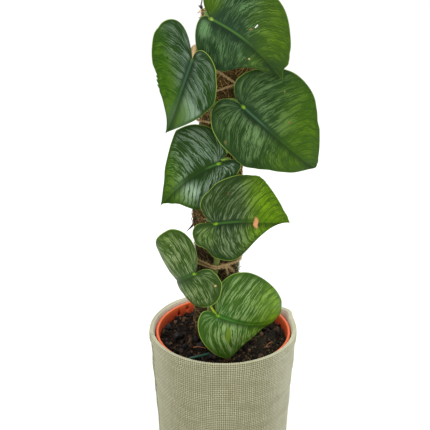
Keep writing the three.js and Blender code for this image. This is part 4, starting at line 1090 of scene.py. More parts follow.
def vineParts():
    low, high = vine["path"][0][0], vine["path"][-1][0]
    knots = smoothPath([stemPoint(z) for z, _ in vine["path"]], vine["steps"])
    scarHeight, scarDrop, scarWidth = vine["scar"]

    def radiusAt(share, angle):
        z = low + (high - low) * share
        radius = stemRadius(z)
        for leaf in leaves.values():
            radius += scarHeight * math.exp(-(((z - leaf["node"] + scarDrop) / scarWidth) ** 2))
        return radius + vine["ridge"] * math.sin(vine["ridges"] * angle + 0.05 * z) * min((high - z) / 20, 1)

    stem = tube([poleFrame @ point for point in knots], radiusAt, vine["sides"], reference=(1, 0, 0))
    woody = []
    for spot in knots:
        scar = max(math.exp(-(((spot.z - leaf["node"]) / 2.2) ** 2)) for leaf in leaves.values())
        woody += [0.7 * scar + 0.5 * smoothStep(-spot.z, -30, 10)] * vine["sides"]
    stem["marks"] = {"woody": woody + [0.5, 0.0]}
    noise.seed_set(root["seed"])  # noise_vector draws its offsets from it
    return [stem, *(clingingRoot(*spot) for spot in roots)]


vineFinish = finishOf("vineBark", vineLook)
settleJoined("vine_stem", vineParts(), vineFinish, "vine", "vine")
print("vine grown with", len(roots), "roots")

# Coir pole


def coirRadius(angle, z):
    # the felt's lumps, its folds and the groove where the vine lies in it
    steep = math.sin(5 * angle + z * 0.11)
    crossing = 0.8 * math.sin(3 * angle - z * 0.19 + 1)
    short = 0.7 * math.sin(z * 0.43 + 2 * angle)
    radius = pole["coirRadius"] + pole["coirRelief"] * (steep + crossing + short) / 2.5
    x, y = math.cos(angle), math.sin(angle)
    felt = noise.fractal(Vector((x * 14, y * 14, z * 0.75)), 0.6, 2.2, 4)
    radius += pole["matting"] * felt
    for foldAngle, spread, foldZ, reach, proud in pole["folds"]:
        turn = ((math.degrees(angle) - foldAngle + 540) % 360 - 180) / spread
        radius += proud * math.exp(-(turn ** 2) - ((z - foldZ) / reach) ** 2)
    stem = stemPoint(z)
    bearing = angle - math.atan2(stem.y, stem.x)
    clear = stemRadius(z) + 0.25
    sideways = vine["fromAxis"] * math.sin(bearing)
    if math.cos(bearing) > 0 and abs(sideways) < clear:
        touch = vine["fromAxis"] * math.cos(bearing) - math.sqrt(clear ** 2 - sideways ** 2)
        radius = min(radius, touch)
    return radius


def coirMesh(finish):
    around, rings = pole["around"], pole["rings"]
    bottom, top = pole["coirBottom"], pole["coirTop"]
    inner = pole["coreRadius"] + pole["touchGap"]
    rows = [(bottom + (top - bottom) * i / rings, None) for i in range(rings + 1)]
    rows += [(top - 0.2, 15), (top - 0.8, 11), (top - 1.6, inner), (bottom, inner)]
    points = []
    for z, fixed in rows:
        for k in range(around):
            angle = math.tau * k / around
            radius = fixed or coirRadius(angle, z)
            if fixed and fixed != inner:
                radius += 0.8 * noise.noise(Vector((k * 0.5, fixed, 3)))
            points.append(poleFrame @ compass(angle, radius, z))
    return meshOf("pole_coir_felt", points, ringFaces(len(rows), around, True), [finish])


def coirLook(g):
    place = g.place()
    strands = g.noise(g.vectorMaths("MULTIPLY", place, (2.2, 2.2, 1.1)), 1.0, 4.0, 0.7)
    patches = g.noise(place, 0.11, 3.0)
    colour = g.blend(g.ramp(strands, 0.4, 0.66), srgb(18, 11, 7), srgb(166, 128, 72))
    colour = g.blend(g.ramp(patches, 0.5, 0.75) * 0.5, colour, srgb(58, 42, 28))
    height = g.parts(place)[2]
    # Darker towards the bottom, below 200 to 245 mm
    colour = g.blend(g.fall(height, 200, 245) * 0.75, colour, srgb(20, 16, 10))
    return {"Base Color": colour, "Roughness": 0.9, "Specular IOR Level": 0.2}, 1.2 * strands


def fibreLook(g, dark, light, paler=None):
    # paler is a height range over which the fibres turn from darker to paler
    shade = g.mark("shade")
    place = g.place()
    tone = g.noise(place, 0.4, 2.0)
    # This share rises through the paler range; below it the fibres are darker
    dry = g.ramp(g.parts(place)[2], *paler) if paler else 1
    colour = g.blend(g.ramp(shade + (tone - 0.5) * 0.5, 0.1, 0.95) * (0.3 + dry * 0.7), dark, light)
    return {"Base Color": colour, "Roughness": 0.75, "Specular IOR Level": 0.25}, None


coirGrowth = {  # in metres, as Geometry Nodes measure
    "pole_coir_hairs": {"Density": 70000, "Lowest": 0.1, "Length": 0.0125, "Radius": 0.0002,
                        "Arch": 0.0014, "Wiggle": 0.004, "Seed": 11},
    "pole_coir_strays": {"Density": 2600, "Lowest": 0.12, "Length": 0.017, "Radius": 0.00013,
                         "Arch": 0.0045, "Wiggle": 0.007, "Seed": 23},
}
coirFinish = finishOf("coirFelt", coirLook)
hairFinish = finishOf("coirHair", fibreLook, srgb(50, 34, 18), srgb(240, 200, 128), (200, 245))
coir = settle("pole_coir_felt", coirMesh(coirFinish), "coir", "pole_coir")
for name, growth in coirGrowth.items():
    hairs = grow(name, coir.data, fibres, {**growth, "Finish": hairFinish})
    settle(name, hairs, "coir", "pole_coir")
    print(name, len(hairs.polygons), "faces")

# Loose bits on the pole: a shred of coir at the left, moss at the right

wisps = {
    "shred": [(-24.5, 7, 215.5), (-28.2, 6, 211.5), (-29.6, 5, 210.5), (-32, 4, 208.3)],
    "shredRadius": 1.1,
    "moss": 34,
    "mossAngles": (-30, 25),
    "mossHeights": (64, 81),
    "mossLength": (1.5, 4.5),
    "mossRadius": 0.3,
    "mossSunk": 0.8,  # how deep its feet stand in the coir
    "seed": 9,
}


def mossLook(g):
    tone = g.noise(g.place(), 0.7, 2.0)
    return {"Base Color": g.blend(tone, srgb(108, 122, 60), srgb(196, 206, 156)), "Roughness": 0.8}, None


def mossTufts():
    rng = random.Random(wisps["seed"])
    tufts = []
    for _ in range(wisps["moss"]):
        angle = math.radians(rng.uniform(*wisps["mossAngles"]))
        z = rng.uniform(*wisps["mossHeights"])
        outward = compass(angle)
        foot = outward * (coirOutside - wisps["mossSunk"]) + Vector((0, 0, z))
        sway = Vector((0, rng.uniform(-2, 2), rng.uniform(-2.5, 2.5)))
        tip = foot + outward * rng.uniform(*wisps["mossLength"]) + sway
        middle = foot.lerp(tip, 0.5) + outward * 0.7 - sway * 0.25
        path = smoothPath([poleFrame @ spot for spot in (foot, middle, tip)], 8)
        tufts.append(tube(path, lambda share, angle: wisps["mossRadius"] * (1.15 - share), 5))
    return tufts


def shredRadius(share, angle):
    return wisps["shredRadius"] * (1.1 - share) * (1 + 0.3 * math.cos(2 * angle))


settleJoined("pole_moss", mossTufts(), finishOf("paleMoss", mossLook), "coir", "pole_coir")
shred = tube(smoothPath(wisps["shred"], 30), shredRadius, 10)
settleJoined("pole_coir_shred", [shred], coirFinish, "coir", "pole_coir")
print("moss and shred set on the pole")


def woodLook(g):
    place = g.place()
    grain = g.noise(g.vectorMaths("MULTIPLY", place, (1.5, 1.5, 0.08)), 1.0, 4.0)
    colour = g.blend(g.ramp(grain, 0.35, 0.65), srgb(116, 82, 48), srgb(168, 128, 84))
    return {"Base Color": colour, "Roughness": 0.8}, 0.2 * grain


def refinish(node, finish):
    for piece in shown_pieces():
        if piece.get("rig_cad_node") == node:
            piece.data.materials.clear()
            piece.data.materials.append(finish)


refinish("pole_core", finishOf("stakeWood", woodLook))

# Twine ties and the wire

twine = {
    "radius": 1.1,
    "plyRadius": 0.64,
    "plyOffset": 0.48,
    "twist": 7.0,  # millimetres for each turn of the plies
    "steps": 240,
    "sides": 7,
    "fray": 0.08,
    "upright": (0.13, 0.21, 0.97),  # a direction that no stretch of twine runs in
}
ties = {  # loops are height above the pole's foot, and how much higher the right side lies
    "tie_1": {"loops": [(75.5, 1.4), (77.2, -0.4)], "knotAngle": -74},
    "tie_2": {"loops": [(238, -14), (228, 7)], "knotAngle": 60},
    "tie_3": {"loops": [(204, 5.5)], "knotAngle": 70},
}
knot = {"size": 0.95, "reach": 2.4, "steps": 110, "tail": 9, "tails": [(1, 6.5), (0.35, 8)]}


def cordPath(z, right, radius, steps):
    # the shortest closed loop round the pole and the vine
    stem = stemPoint(z)
    bearing = math.atan2(stem.y, stem.x)
    poleReach = coirOutside + pole["touchGap"] + radius
    vineReach = vine["radius"] + vine["nodeProud"] + pole["touchGap"] + radius
    path = []
    for i in range(steps * 4):
        angle = math.tau * i / (steps * 4)
        outward = compass(angle)
        overVine = vine["fromAxis"] * math.cos(angle - bearing) + vineReach > poleReach
        centre = outward * vineReach + Vector((stem.x, stem.y, 0)) if overVine else outward * poleReach
        path.append(Vector((centre.x, centre.y, z + right * centre.x / poleReach)))
    return evenly(path + path[:1], steps)[:-1]


def plies(path, closed):
    # two strands laid round each other
    length = sum((b - a).length for a, b in zip(path, path[1:]))
    turns = round(length / twine["twist"])
    last = len(path) - 1
    made = []
    for ply in (0, 1):
        strand = []
        for i, centre in enumerate(path):
            if closed:
                ahead = path[(i + 1) % len(path)] - path[i - 1]
            else:
                ahead = path[min(i + 1, last)] - path[max(i - 1, 0)]
            ahead = ahead.normalized()
            up = Vector(twine["upright"])
            up = (up - ahead * up.dot(ahead)).normalized()
            phase = math.tau * turns * i / len(path) + math.pi * ply
            around = up * math.cos(phase) + ahead.cross(up) * math.sin(phase)
            strand.append(poleFrame @ (centre + around * twine["plyOffset"]))

        def radiusAt(share, angle):
            return twine["plyRadius"] * (1 + twine["fray"] * math.sin(3 * angle + 90 * share))

        made.append(tube(strand, radiusAt, twine["sides"], closed=closed, reference=twine["upright"]))
    return made


def knotPaths(z, right, knotAngle):
    # a knotted loop and its two hanging tails
    angle = math.radians(knotAngle)
    reach = coirOutside + pole["touchGap"] + knot["reach"]
    outward = compass(angle)
    sideways = Vector((-math.sin(angle), math.cos(angle), 0))
    heart = outward * reach + Vector((0, 0, z + right * math.cos(angle)))
    loops = []
    for i in range(knot["steps"]):
        t = math.tau * i / knot["steps"]
        flat = (math.sin(t) + 2 * math.sin(2 * t), math.cos(t) - 2 * math.cos(2 * t), -math.sin(3 * t))
        shift = sideways * flat[0] * 0.85 + Vector((0, 0, flat[1] * 0.6)) + outward * flat[2] * 0.8
        loops.append(heart + shift * knot["size"])
    tails = []
    for side, drop in knot["tails"]:
        swing = angle + side * knot["tail"] / reach
        end = compass(swing) * (reach + 0.8)
        middle = heart.lerp(end, 0.5) + outward * 0.6
        middle.z = heart.z - drop * 0.25
        end.z = heart.z - drop
        tails.append(smoothPath([heart, middle, end], 36))
    return loops, tails


def twineLook(g):
    place = g.place()
    strands = g.noise(place, 2.4, 3.0, 0.65)
    tone = g.noise(place, 0.16, 2.0)
    colour = g.blend(g.ramp(strands, 0.3, 0.7), srgb(132, 102, 60), srgb(212, 184, 136))
    colour = g.blend(g.ramp(tone, 0.5, 0.75) * 0.4, colour, srgb(150, 108, 58))
    return {"Base Color": colour, "Roughness": 0.85, "Specular IOR Level": 0.2}, 0.5 * strands


twineFinish = finishOf("juteTwine", twineLook)
fuzzFinish = finishOf("juteFuzz", fibreLook, srgb(148, 118, 72), srgb(214, 190, 142))
fuzzGrowth = {"Density": 160000, "Lowest": 0.1, "Length": 0.0055, "Radius": 0.00006,
              "Arch": 0.0016, "Wiggle": 0.003, "Seed": 31, "Finish": fuzzFinish}
for name, tie in ties.items():
    parts = []
    for z, right in tie["loops"]:
        parts += plies(cordPath(z, right, twine["radius"], twine["steps"]), True)
    loops, tails = knotPaths(*tie["loops"][0], tie["knotAngle"])
    parts += plies(loops, True)
    for tail in tails:
        parts += plies(tail, False)
    cord = settleJoined(name + "_cord", parts, twineFinish, "twine", name)
    settle(name + "_fuzz", grow(name + "_fuzz", cord.data, fibres, fuzzGrowth), "twine", name)
print("ties knotted:", len(ties))

wire = {
    "radius": 0.6,
    "z": 279.5,
    "right": 1.5,
    "twistAngle": 150,
    "twistHeight": 10.5,
    "twistTurns": 4.5,
    "twistLean": 2.6,
    "openFrom": 0.75,  # share of the twist above which its ends part
    "knobRadius": 0.7,
    "tail": [(-20, 10.4, 286.5), (-19.3, 10.6, 290), (-18.6, 10.2, 295)],
    "steps": 70,
}


def wireLook(g):
    worn = g.noise(g.place(), 1.2, 3.0)
    colour = g.blend(g.ramp(worn, 0.4, 0.7), srgb(20, 20, 19), srgb(52, 50, 46))
    return {"Base Color": colour, "Roughness": 0.38 + 0.2 * worn}, 0.06 * worn


def wireParts():
    loop = cordPath(wire["z"], wire["right"], wire["radius"], 200)
    ring = [poleFrame @ point for point in loop]
    parts = [tube(ring, lambda share, angle: wire["radius"], 8, closed=True, reference=(0, 0, 1))]
    angle = math.radians(wire["twistAngle"])
    reach = coirOutside + pole["touchGap"] + wire["knobRadius"]
    foot = compass(angle, reach, wire["z"] - 1.5)
    for ply in (0, 1):
        strand = []
        for i in range(wire["steps"]):
            share = i / (wire["steps"] - 1)
            spread = 0.4 + 3.2 * max(share - wire["openFrom"], 0)
            phase = math.tau * wire["twistTurns"] * share + math.pi * ply
            lean = Vector((-wire["twistLean"] * share ** 2, 0, wire["twistHeight"] * share - 2))
            strand.append(poleFrame @ (foot + lean + compass(phase) * spread))
        parts.append(tube(strand, lambda share, angle: wire["radius"] * 0.9, 8))
    tail = smoothPath([poleFrame @ Vector(spot) for spot in wire["tail"]], 20)
    parts.append(tube(tail, lambda share, angle: wire["radius"] * (0.9 - 0.4 * share), 8))
    return parts


settleJoined("wire_twist", wireParts(), finishOf("blackWire", wireLook), "black_wire", "wire_tie")
print("wire twisted")

# Woven cover pot

cover = {
    "height": 120,
    "footRadius": 58.6,
    "topRadius": 65.3,
    "wall": 3,
    "hemHeight": 9,
    "hemProud": 0.4,
    "threads": 216,  # round the pot, an even number
    "relief": 0.7,
    "slub": 0.18,
    "sag": 0.35,
    "wrinkle": 0.8,
    "finestDepth": 17,  # how far down inside the weave is modelled
    "seams": [(24, 7, 3.4), (189, 5, 0.5)],  # angle, spread and bulge
    "stitchedAt": 13.5,  # how far before the middle the left seam's stitches run
}


def coverRadius(z):
    foot = cover["footRadius"]
    return foot + (cover["topRadius"] - foot) * z / cover["height"]


def seamBulge(angle, z):
    bulge = 0
    for seamAngle, spread, proud in cover["seams"]:
        away = abs((angle - seamAngle + 540) % 360 - 180)
        bulge += proud * math.exp(-((away / spread) ** 2))
    return bulge * min(1, z / (0.6 * cover["height"]))


def coverProfile():
    # the cloth's way from under the foot, up, over the hem and down inside
    height, wall, proud = cover["height"], cover["wall"], cover["hemProud"]
    hemFoot = height - cover["hemHeight"]
    top = coverRadius(height)
    out = [(coverRadius(z), z) for z in (3.5, 30, 60, 90, hemFoot - 1)]
    hem = [
        (top + 0.4 * proud, hemFoot + 0.3), (top + proud, hemFoot + 4), (top + proud, height - 1.6),
        (top + 0.4 * proud, height - 0.5), (top - 0.5 * wall, height), (top - wall + 0.1, height - 0.8),
        (top - wall - 0.9, height - 3), (top - wall - 1.7, hemFoot + 0.3),
    ]
    inside = [(coverRadius(z) - wall - 1.3, z) for z in (hemFoot - 1, height - cover["finestDepth"])]
    foot = [(cover["footRadius"] - 3, 0), (cover["footRadius"] - 0.7, 0.7)]
    points = smoothPath([(radius, 0, z) for radius, z in foot + out + hem + inside], 2200)
    length = sum((b - a).length for a, b in zip(points, points[1:]))
    pitch = math.tau * cover["topRadius"] / cover["threads"]
    return evenly(points, 2 * round(length / pitch))


def clothSag(turn, z, broad):
    # how far the cloth hangs out or in at this bearing and height
    level = z * 0.075 + 0.8 * math.cos(turn)
    crease = noise.noise(compass(turn, 1.1, level))
    sag = cover["sag"] * broad * smoothStep(z, 2, 30)
    return sag + cover["wrinkle"] * crease * smoothStep(z, 20, 60) * (1 - smoothStep(z, 96, 110))


def coverMesh(finish):
    profile = coverProfile()
    columns = 2 * cover["threads"]
    rng = random.Random(5)
    warp = [rng.uniform(-1, 1) for _ in range(columns)]
    weft = [rng.uniform(-1, 1) for _ in range(len(profile) + 1)]
    wall = cover["wall"]
    deeper = [(coverRadius(z) - wall, z) for z in (85, 60, 30, wall + 2)]
    deeper += [(coverRadius(0) - wall - 2, wall), (30, wall), (6, wall)]
    points, lining = [], []
    last = len(profile) - 1
    for i, spot in enumerate(profile):
        ahead = (profile[min(i + 1, last)] - profile[max(i - 1, 0)]).normalized()
        outward = Vector((ahead.z, 0, -ahead.x))
        for k in range(columns):
            angle = 360 * k / columns + cover["slub"] * warp[k] * 360 / columns
            turn = math.radians(angle)
            crossing = (1 if k % 2 else 0) + (1 if i % 2 else 0)
            lift = cover["relief"] * (crossing / 2 - 0.75)
            lengthwise = 0.08 * noise.noise(Vector((k * 0.37, i * 0.11, 2)))
            lift += lengthwise + 0.06 * noise.noise(Vector((k * 0.07, i * 0.6, 8)))
            broad = noise.noise(compass(turn, 2.2, spot.z * 0.03))
            inside = spot.x < coverRadius(spot.z) - 0.6 * wall
            sag = 0 if inside else clothSag(turn, spot.z, broad)
            radius = spot.x + outward.x * lift + sag + seamBulge(angle, spot.z)
            z = spot.z + outward.z * lift + 0.12 * weft[i] + (0.35 * broad if spot.z > 112 else 0)
            points.append(compass(turn, radius, max(z, 0) if i > 2 else spot.z))
            lining.append(1.0 if inside else 0.0)
    for radius, z in deeper:
        for k in range(columns):
            turn = math.tau * k / columns
            points.append(compass(turn, radius + seamBulge(math.degrees(turn), z), z))
            lining.append(1.0)
    rows = len(profile) + len(deeper)
    faces = ringFaces(rows, columns)
    corners = [
        ((k + across) / 2, (i + up) / 2)
        for i in range(rows - 1) for k in range(columns) for across, up in ((0, 0), (1, 0), (1, 1), (0, 1))
    ]
    for first, height, turned in ((0, 0, True), ((rows - 1) * columns, wall, False)):
        faces += fanFaces(len(points), first, columns, turned)
        corners += [(0, 0)] * (3 * columns)
        points.append((0, 0, height))
        lining.append(1.0)
    return meshOf("cover_pot_cloth", points, faces, [finish], None, {"lining": lining}, {"threads": corners})


def clothLook(g):
    u, v, _ = g.map("threads")
    place = g.place()
    x, y, z = g.parts(place)
    warp = g.maths("ABSOLUTE", g.maths("SINE", u * math.pi))
    weft = g.maths("ABSOLUTE", g.maths("SINE", v * math.pi))
    over = g.ramp(g.maths("SINE", u * math.pi) * g.maths("SINE", v * math.pi), -0.5, 0.5)
    height = g.maths("MAXIMUM", warp * (0.55 + 0.45 * over), weft * (1 - 0.45 * over))
    warpTone = g.noise(g.vector(g.maths("FLOOR", u) * 3.7, v * 0.09, 0), 1.0, 1.0)
    weftTone = g.noise(g.vector(u * 0.09, g.maths("FLOOR", v) * 3.7, 9), 1.0, 1.0)
    fibre = g.noise(place, 3.2, 2.0, 0.6)
    tone = g.ramp(warpTone * over + weftTone * (1 - over), 0.25, 0.75)
    colour = g.blend(tone, srgb(142, 141, 112), srgb(164, 163, 134))
    # Painted highlight on the crowns of the threads and painted shade in the gaps between them
    colour = g.blend(g.ramp(height, 0.75, 1.0) * 0.5, colour, srgb(196, 194, 162))
    colour = g.blend(g.fall(height, 0.3, 0.85) * 0.9, colour, srgb(66, 60, 36))
    broad = g.noise(place, 0.03, 2.0)
    colour = g.blend(g.ramp(broad, 0.4, 0.7) * 0.2, colour, srgb(130, 132, 108))
    # Painted light: the right side is painted lighter here, and both sides again below
    colour = g.blend(g.ramp(x, 28, 62) * 0.4, colour, srgb(190, 190, 172))
    # Painted shade in slanting bands along the folds of the body, below the hem
    paintedFoldShade = g.noise(g.vector(x * 0.022, y * 0.022, z * 0.1 + x * 0.012), 1.0, 2.0)
    colour = g.blend(g.ramp(paintedFoldShade, 0.5, 0.62) * g.fall(z, 100, 112) * 0.3, colour, srgb(126, 124, 96))
    worn = g.noise(place, 0.12, 3.0, 0.6)
    colour = g.blend(g.ramp(worn, 0.48, 0.72) * 0.45, colour, srgb(126, 123, 90))
    # Painted light on both sides of the pot, lighter than the front
    paintedSideLight = g.ramp(g.maths("ABSOLUTE", x), 34, 64)
    colour = g.blend(paintedSideLight * 0.45, colour, srgb(172, 172, 150))
    # Painted highlight on the top of the hem
    colour = g.blend(g.ramp(z, 118.9, 119.6) * 0.55, colour, srgb(204, 202, 168))
    # Painted light: the lining is painted almost white, so the inside of the pot stays bright where shade falls
    colour = g.blend(g.mark("lining") * 0.85, colour, srgb(228, 226, 204))
    seam = g.maths("ABSOLUTE", y + cover["stitchedAt"] + z * 0.02) + g.ramp(x, -60, 0) * 99
    frayed = seam + (g.noise(place, 0.5, 2.0) - 0.5) * 3
    stitches = g.ramp(g.maths("SINE", z * 1.4 + g.noise(place, 0.15, 1.0) * 5), -0.4, 0.5)
    stitches = stitches * g.fall(z, 108, 113)
    colour = g.blend(g.fall(frayed, 1.2, 3.4) * (stitches * 0.5 + 0.2), colour, srgb(66, 70, 50))
    return {"Base Color": colour, "Roughness": 0.95, "Specular IOR Level": 0.15}, 0.35 * height + 0.15 * fibre


clothFinish = finishOf("wovenJute", clothLook)
cloth = settle("cover_pot_cloth", coverMesh(clothFinish), "cover_fabric", "cover_pot")
print("cover pot woven:", len(cloth.data.polygons), "faces")

# Nursery pot

nursery = {
    "rimTop": 116,
    "tilt": 0.022,  # rise per millimetre towards the back
    "rimRadius": 60,
    "rimHeight": 10,
    "rimWall": 2.4,
    "bodyTopRadius": 57.2,
    "footRadius": 44,
    "wall": 1.8,
    "footInset": 2,
    "foot": 4.35,
    "around": 144,
    "holeRadius": 1.7,
    "holes": [(126, 112.7), (136.5, 109.8)],  # angle and height
}


def nurseryInside(z):
    share = (z - nursery["foot"]) / (nursery["rimTop"] - nursery["foot"])
    low = nursery["footRadius"] - nursery["wall"]
    return low + (nursery["rimRadius"] - nursery["rimWall"] - low) * share


def turnedMesh(name, profile, around, finishes):
    points = []
    for radius, z in profile[1:-1]:
        for k in range(around):
            angle = math.tau * k / around
            rise = nursery["tilt"] * radius * math.sin(angle) * smoothStep(z, 40, 108)
            points.append(compass(angle, radius, z + rise))
    rows = len(profile) - 2
    faces = ringFaces(rows, around)
    for first, (_, z), turned in ((0, profile[0], True), ((rows - 1) * around, profile[-1], False)):
        faces += fanFaces(len(points), first, around, turned)
        points.append((0, 0, z))
    return meshOf(name, points, faces, finishes)


def drilled(mesh, cutters):
    body = placed("drilling", mesh)
    for cutter in cutters:
        drill = placed("drill", cutter)
        step = body.modifiers.new("hole", "BOOLEAN")
        step.operation = "DIFFERENCE"
        step.solver = "EXACT"
        step.object = drill
    made = evaluatedMesh(body)
    for step in body.modifiers:
        bpy.data.objects.remove(step.object)
    bpy.data.objects.remove(body)
    return made


def nurseryMesh(finish):
    rim, wall, top = nursery["rimRadius"], nursery["rimWall"], nursery["rimTop"]
    foot, wide = nursery["foot"], nursery["footRadius"]
    lifted, shoulder = foot + nursery["footInset"], top - nursery["rimHeight"]
    inner = rim - wall
    profile = [  # under the foot, up the outside, over the rim and down inside
        (0, lifted), (wide - 6, lifted), (wide - 5, foot + 0.2), (wide - 4.5, foot),
        (wide - 0.5, foot), (wide, foot + 0.5), (nursery["bodyTopRadius"], shoulder - 0.6),
        (rim - 0.7, shoulder), (rim - 0.3, shoulder + 0.4), (rim, top - 3), (rim, top - 1),
        (rim - 0.3, top - 0.3), (rim - 0.8, top), (inner + 0.7, top), (inner + 0.2, top - 0.25),
        (inner, top - 0.9), (nurseryInside(shoulder + 1), shoulder + 1),
        (nurseryInside(shoulder - 1) + 0.1, shoulder - 1), (nurseryInside(60), 60),
        (nurseryInside(foot + 4), foot + 4), (wide - 4, foot + 3.8), (0, foot + 3.8),
    ]
    cutters = []
    for angle, z in nursery["holes"]:
        turn = math.radians(angle)
        outward = compass(turn)
        middle = outward * nurseryInside(z) + Vector((0, 0, z))
        path = [middle + outward * reach for reach in (-5, 0, 5)]
        hole = tube(path, lambda share, angle: nursery["holeRadius"], 20)
        cutters.append(meshOf("hole", hole["points"], hole["faces"], []))
    return drilled(turnedMesh("nursery_pot_shell", profile, nursery["around"], [finish]), cutters)


def plasticLook(g):
    place = g.place()
    x, y, z = g.parts(place)
    dust = g.noise(place, 0.22, 4.0, 0.65)
    scuff = g.noise(g.vectorMaths("MULTIPLY", place, (0.5, 0.5, 2.5)), 1.0, 3.0)
    colour = g.blend(g.ramp(scuff, 0.35, 0.7) * 0.4, srgb(226, 92, 30), srgb(238, 122, 54))
    low = g.fall(z + (dust - 0.5) * 9, 107.5, 113)
    # Painted shade: the rim is darker red below its lit top face
    colour = g.blend(g.fall(z, 112.5, 115.4) * 0.6, colour, srgb(190, 50, 14))
    colour = g.blend(low * g.ramp(dust, 0.35, 0.65) * 0.75, colour, srgb(72, 42, 28))
    return {"Base Color": colour, "Roughness": 0.42 + 0.25 * dust}, 0.08 * scuff


potFinish = finishOf("terracottaPlastic", plasticLook)
settle("nursery_pot_shell", nurseryMesh(potFinish), "terracotta_plastic", "nursery_pot")
print("nursery pot turned")

# Soil, crumbs and what lies on it

soil = {
    "level": 107.2,
    "heap": 4,
    "heapReach": 30,
    "lump": 0.9,
    "hollow": (3, -42, 2.6, 20),  # x, y, depth and reach
    "around": 150,
    "rings": 64,
    "crumble": 2.2,
    "floor": 8.5,
}


def soilHeight(x, y):
    toPole = math.hypot(x - pole["foot"][0], y - pole["foot"][1])
    hollowX, hollowY, depth, reach = soil["hollow"]
    toHollow = math.hypot(x - hollowX, y - hollowY)
    broad = math.sin(0.31 * x + 0.9) * math.cos(0.27 * y - 0.4)
    fine = 0.6 * math.sin(0.52 * (x + y)) * math.cos(0.45 * (x - y) + 1.3)
    heap = soil["heap"] * math.exp(-((toPole / soil["heapReach"]) ** 2))
    dip = depth * math.exp(-((toHollow / reach) ** 2))
    return soil["level"] + heap - dip + soil["lump"] * (broad + fine)


def soilMesh(finish):
    around, rings = soil["around"], soil["rings"]
    wallRadius = nurseryInside(soil["level"]) - 0.5
    points, faces = [], []
    for i in range(1, rings + 1):
        for k in range(around):
            angle = math.tau * k / around
            radius = wallRadius * i / rings
            x, y = radius * math.cos(angle), radius * math.sin(angle)
            rough = noise.fractal(Vector((x * 0.2, y * 0.2, 4)), 0.6, 2.1, 5)
            edge = 1 - smoothStep(radius, wallRadius - 3, wallRadius)
            points.append((x, y, soilHeight(x, y) + soil["crumble"] * rough * (0.3 + 0.7 * edge)))
    lowRadius = nurseryInside(soil["floor"]) - 0.5
    points += [compass(math.tau * k / around, lowRadius, soil["floor"]) for k in range(around)]
    centre = len(points)
    points += [(0, 0, soilHeight(0, 0)), (0, 0, soil["floor"])]
    for k in range(around):
        after = (k + 1) % around
        faces += [(centre, k, after), (centre + 1, rings * around + after, rings * around + k)]
        for i in range(rings):
            faces.append((i * around + k, (i + 1) * around + k, (i + 1) * around + after, i * around + after))
    return meshOf("soil_bed", points, faces, [finish])


def soilLook(g):
    place = g.place()
    grains = g.noise(place, 0.8, 4.0, 0.7)
    patches = g.noise(place, 0.09, 3.0)
    colour = g.blend(g.ramp(grains, 0.4, 0.7), srgb(9, 7, 5), srgb(46, 34, 24))
    colour = g.blend(g.ramp(patches, 0.5, 0.7) * 0.5, colour, srgb(38, 30, 24))
    colour = g.blend(g.ramp(g.parts(place)[0], 8, 42) * 0.35, colour, srgb(58, 56, 38))
    return {"Base Color": colour, "Roughness": 0.9, "Specular IOR Level": 0.1}, 1.6 * grains


def crumbLook(g):
    place = g.place()
    shade = g.mark("shade")
    grains = g.noise(place, 1.6, 3.0, 0.6)
    colour = g.blend(g.ramp(shade + (grains - 0.5) * 0.8, 0.35, 1.0), srgb(11, 8, 6), srgb(96, 72, 50))
    colour = g.blend(g.ramp(shade, 0.96, 0.98), colour, srgb(96, 68, 44))
    mossy = g.ramp(shade, 0.8, 0.84) * g.fall(shade, 0.92, 0.94) * g.ramp(g.parts(place)[0], 10, 32)
    colour = g.blend(mossy * 0.8, colour, srgb(86, 92, 56))
    return {"Base Color": colour, "Roughness": 0.6, "Specular IOR Level": 0.16}, 0.6 * grains


def wetLook(g):
    place = g.place()
    facets = g.noise(place, 0.55, 3.0, 0.65)
    colour = g.blend(g.ramp(facets, 0.42, 0.72), srgb(13, 10, 8), srgb(52, 46, 42))
    colour = g.blend(g.ramp(g.noise(place, 0.2, 2.0), 0.5, 0.65) * 0.5, colour, srgb(54, 40, 28))
    return {"Base Color": colour, "Roughness": 0.45, "Specular IOR Level": 0.3}, 2.2 * facets


soilFinish = finishOf("darkPeat", soilLook)
wetFinish = finishOf("wetLump", wetLook)
crumbFinish = finishOf("peatCrumb", crumbLook)
rootletFinish = finishOf("peatFibre", fibreLook, srgb(54, 36, 24), srgb(128, 92, 56))
bed = settle("soil_bed", soilMesh(soilFinish), "soil", "soil")
soilGrowth = {
    "soil_crumbs": (crumbs, crumbFinish, {"Density": 80000, "Size": 0.0012, "Wiggle": 0.0012, "Seed": 41}),
    "soil_lumps": (crumbs, crumbFinish, {"Density": 12000, "Size": 0.0031, "Wiggle": 0.0042, "Seed": 47}),
    "soil_chunks": (crumbs, wetFinish, {"Density": 1100, "Size": 0.006, "Wiggle": 0.009, "Seed": 59}),
    "soil_fibres": (fibres, rootletFinish, {"Density": 9000, "Length": 0.009, "Radius": 0.00016,
                                            "Arch": 0.0022, "Wiggle": 0.004, "Seed": 53}),
}
for name, (tree, finish, growth) in soilGrowth.items():
    made = grow(name, bed.data, tree, {"Lowest": 0.1, **growth, "Finish": finish})
    settle(name, made, "soil", "soil")
    print(name, len(made.polygons), "faces")

# Green stick

stick = {
    "at": (-20.5, -34.6),
    "z": 108.9,
    "turn": 25,
    "length": 19,
    "width": 2.6,
    "thick": 1.7,
    "steps": 26,
    "sides": 16,
}


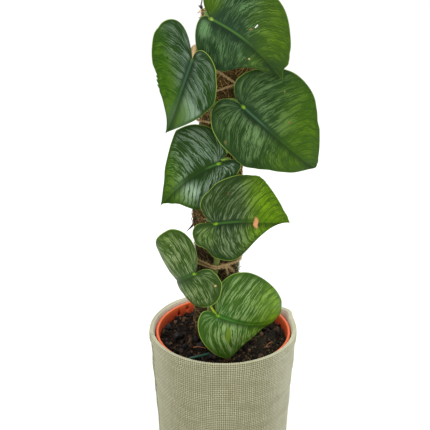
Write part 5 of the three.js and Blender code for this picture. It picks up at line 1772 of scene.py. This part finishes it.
def stickPart():
    # a short strip of nearly square section with rounded ends
    ahead = compass(math.radians(stick["turn"]))
    middle = Vector((*stick["at"], stick["z"]))
    path = [middle + ahead * stick["length"] * (i / stick["steps"] - 0.5) for i in range(stick["steps"] + 1)]

    def radiusAt(share, angle):
        square = (abs(math.cos(angle)) ** 4 + abs(math.sin(angle)) ** 4) ** -0.25
        flatten = math.hypot(math.cos(angle) * stick["width"] / 2, math.sin(angle) * stick["thick"] / 2)
        ends = min(1, math.sqrt(max(min(share, 1 - share), 0) * 14) + 0.55)
        return 0.95 * square * flatten * ends

    return tube(path, radiusAt, stick["sides"], reference=(-ahead.y, ahead.x, 0))


def stickLook(g):
    place = g.place()
    dust = g.noise(place, 0.5, 3.0)
    colour = g.blend(g.ramp(dust, 0.5, 0.75) * 0.6, srgb(16, 70, 54), srgb(44, 42, 32))
    return {"Base Color": colour, "Roughness": 0.4 + 0.3 * dust}, 0.05 * dust


straws = {
    "paths": [
        [(-26, -22.6, 110.5), (-21, -24.8, 112.2), (-15, -26.4, 111.6)],
        [(43, -12, 109.5), (40, -17.5, 111.4), (36, -22.5, 109.6)],
    ],
    "radius": 0.34,
    "steps": 24,
}


def strawLook(g):
    tone = g.noise(g.place(), 0.9, 2.0)
    return {"Base Color": g.blend(tone, srgb(128, 70, 36), srgb(186, 126, 74)), "Roughness": 0.7}, None


strawTubes = [
    tube(smoothPath(path, straws["steps"]), lambda share, angle: straws["radius"] * (1.1 - share * 0.7), 8)
    for path in straws["paths"]
]
settleJoined("soil_straws", strawTubes, finishOf("drySplint", strawLook), "soil", "soil")
settleJoined("green_stick", [stickPart()], finishOf("greenPlastic", stickLook), "green_plastic", "green_stake")
print("stick and straws laid")

# Floor


def floorLook(g):
    speck = g.noise(g.place(), 0.004, 2.0)
    colour = g.blend(speck, srgb(246, 246, 245), srgb(250, 250, 249))
    return {"Base Color": colour, "Roughness": 0.9, "Specular IOR Level": 0.1}, None


def layFloor():
    reach = studio["floorReach"]
    corners = [(x * reach, y * reach, -0.02) for x, y in ((-1, -1), (1, -1), (1, 1), (-1, 1))]
    floor = placed("floor", meshOf("floor", corners, [(0, 1, 2, 3)], [finishOf("paleFloor", floorLook)]))


layFloor()
print("scene ready")
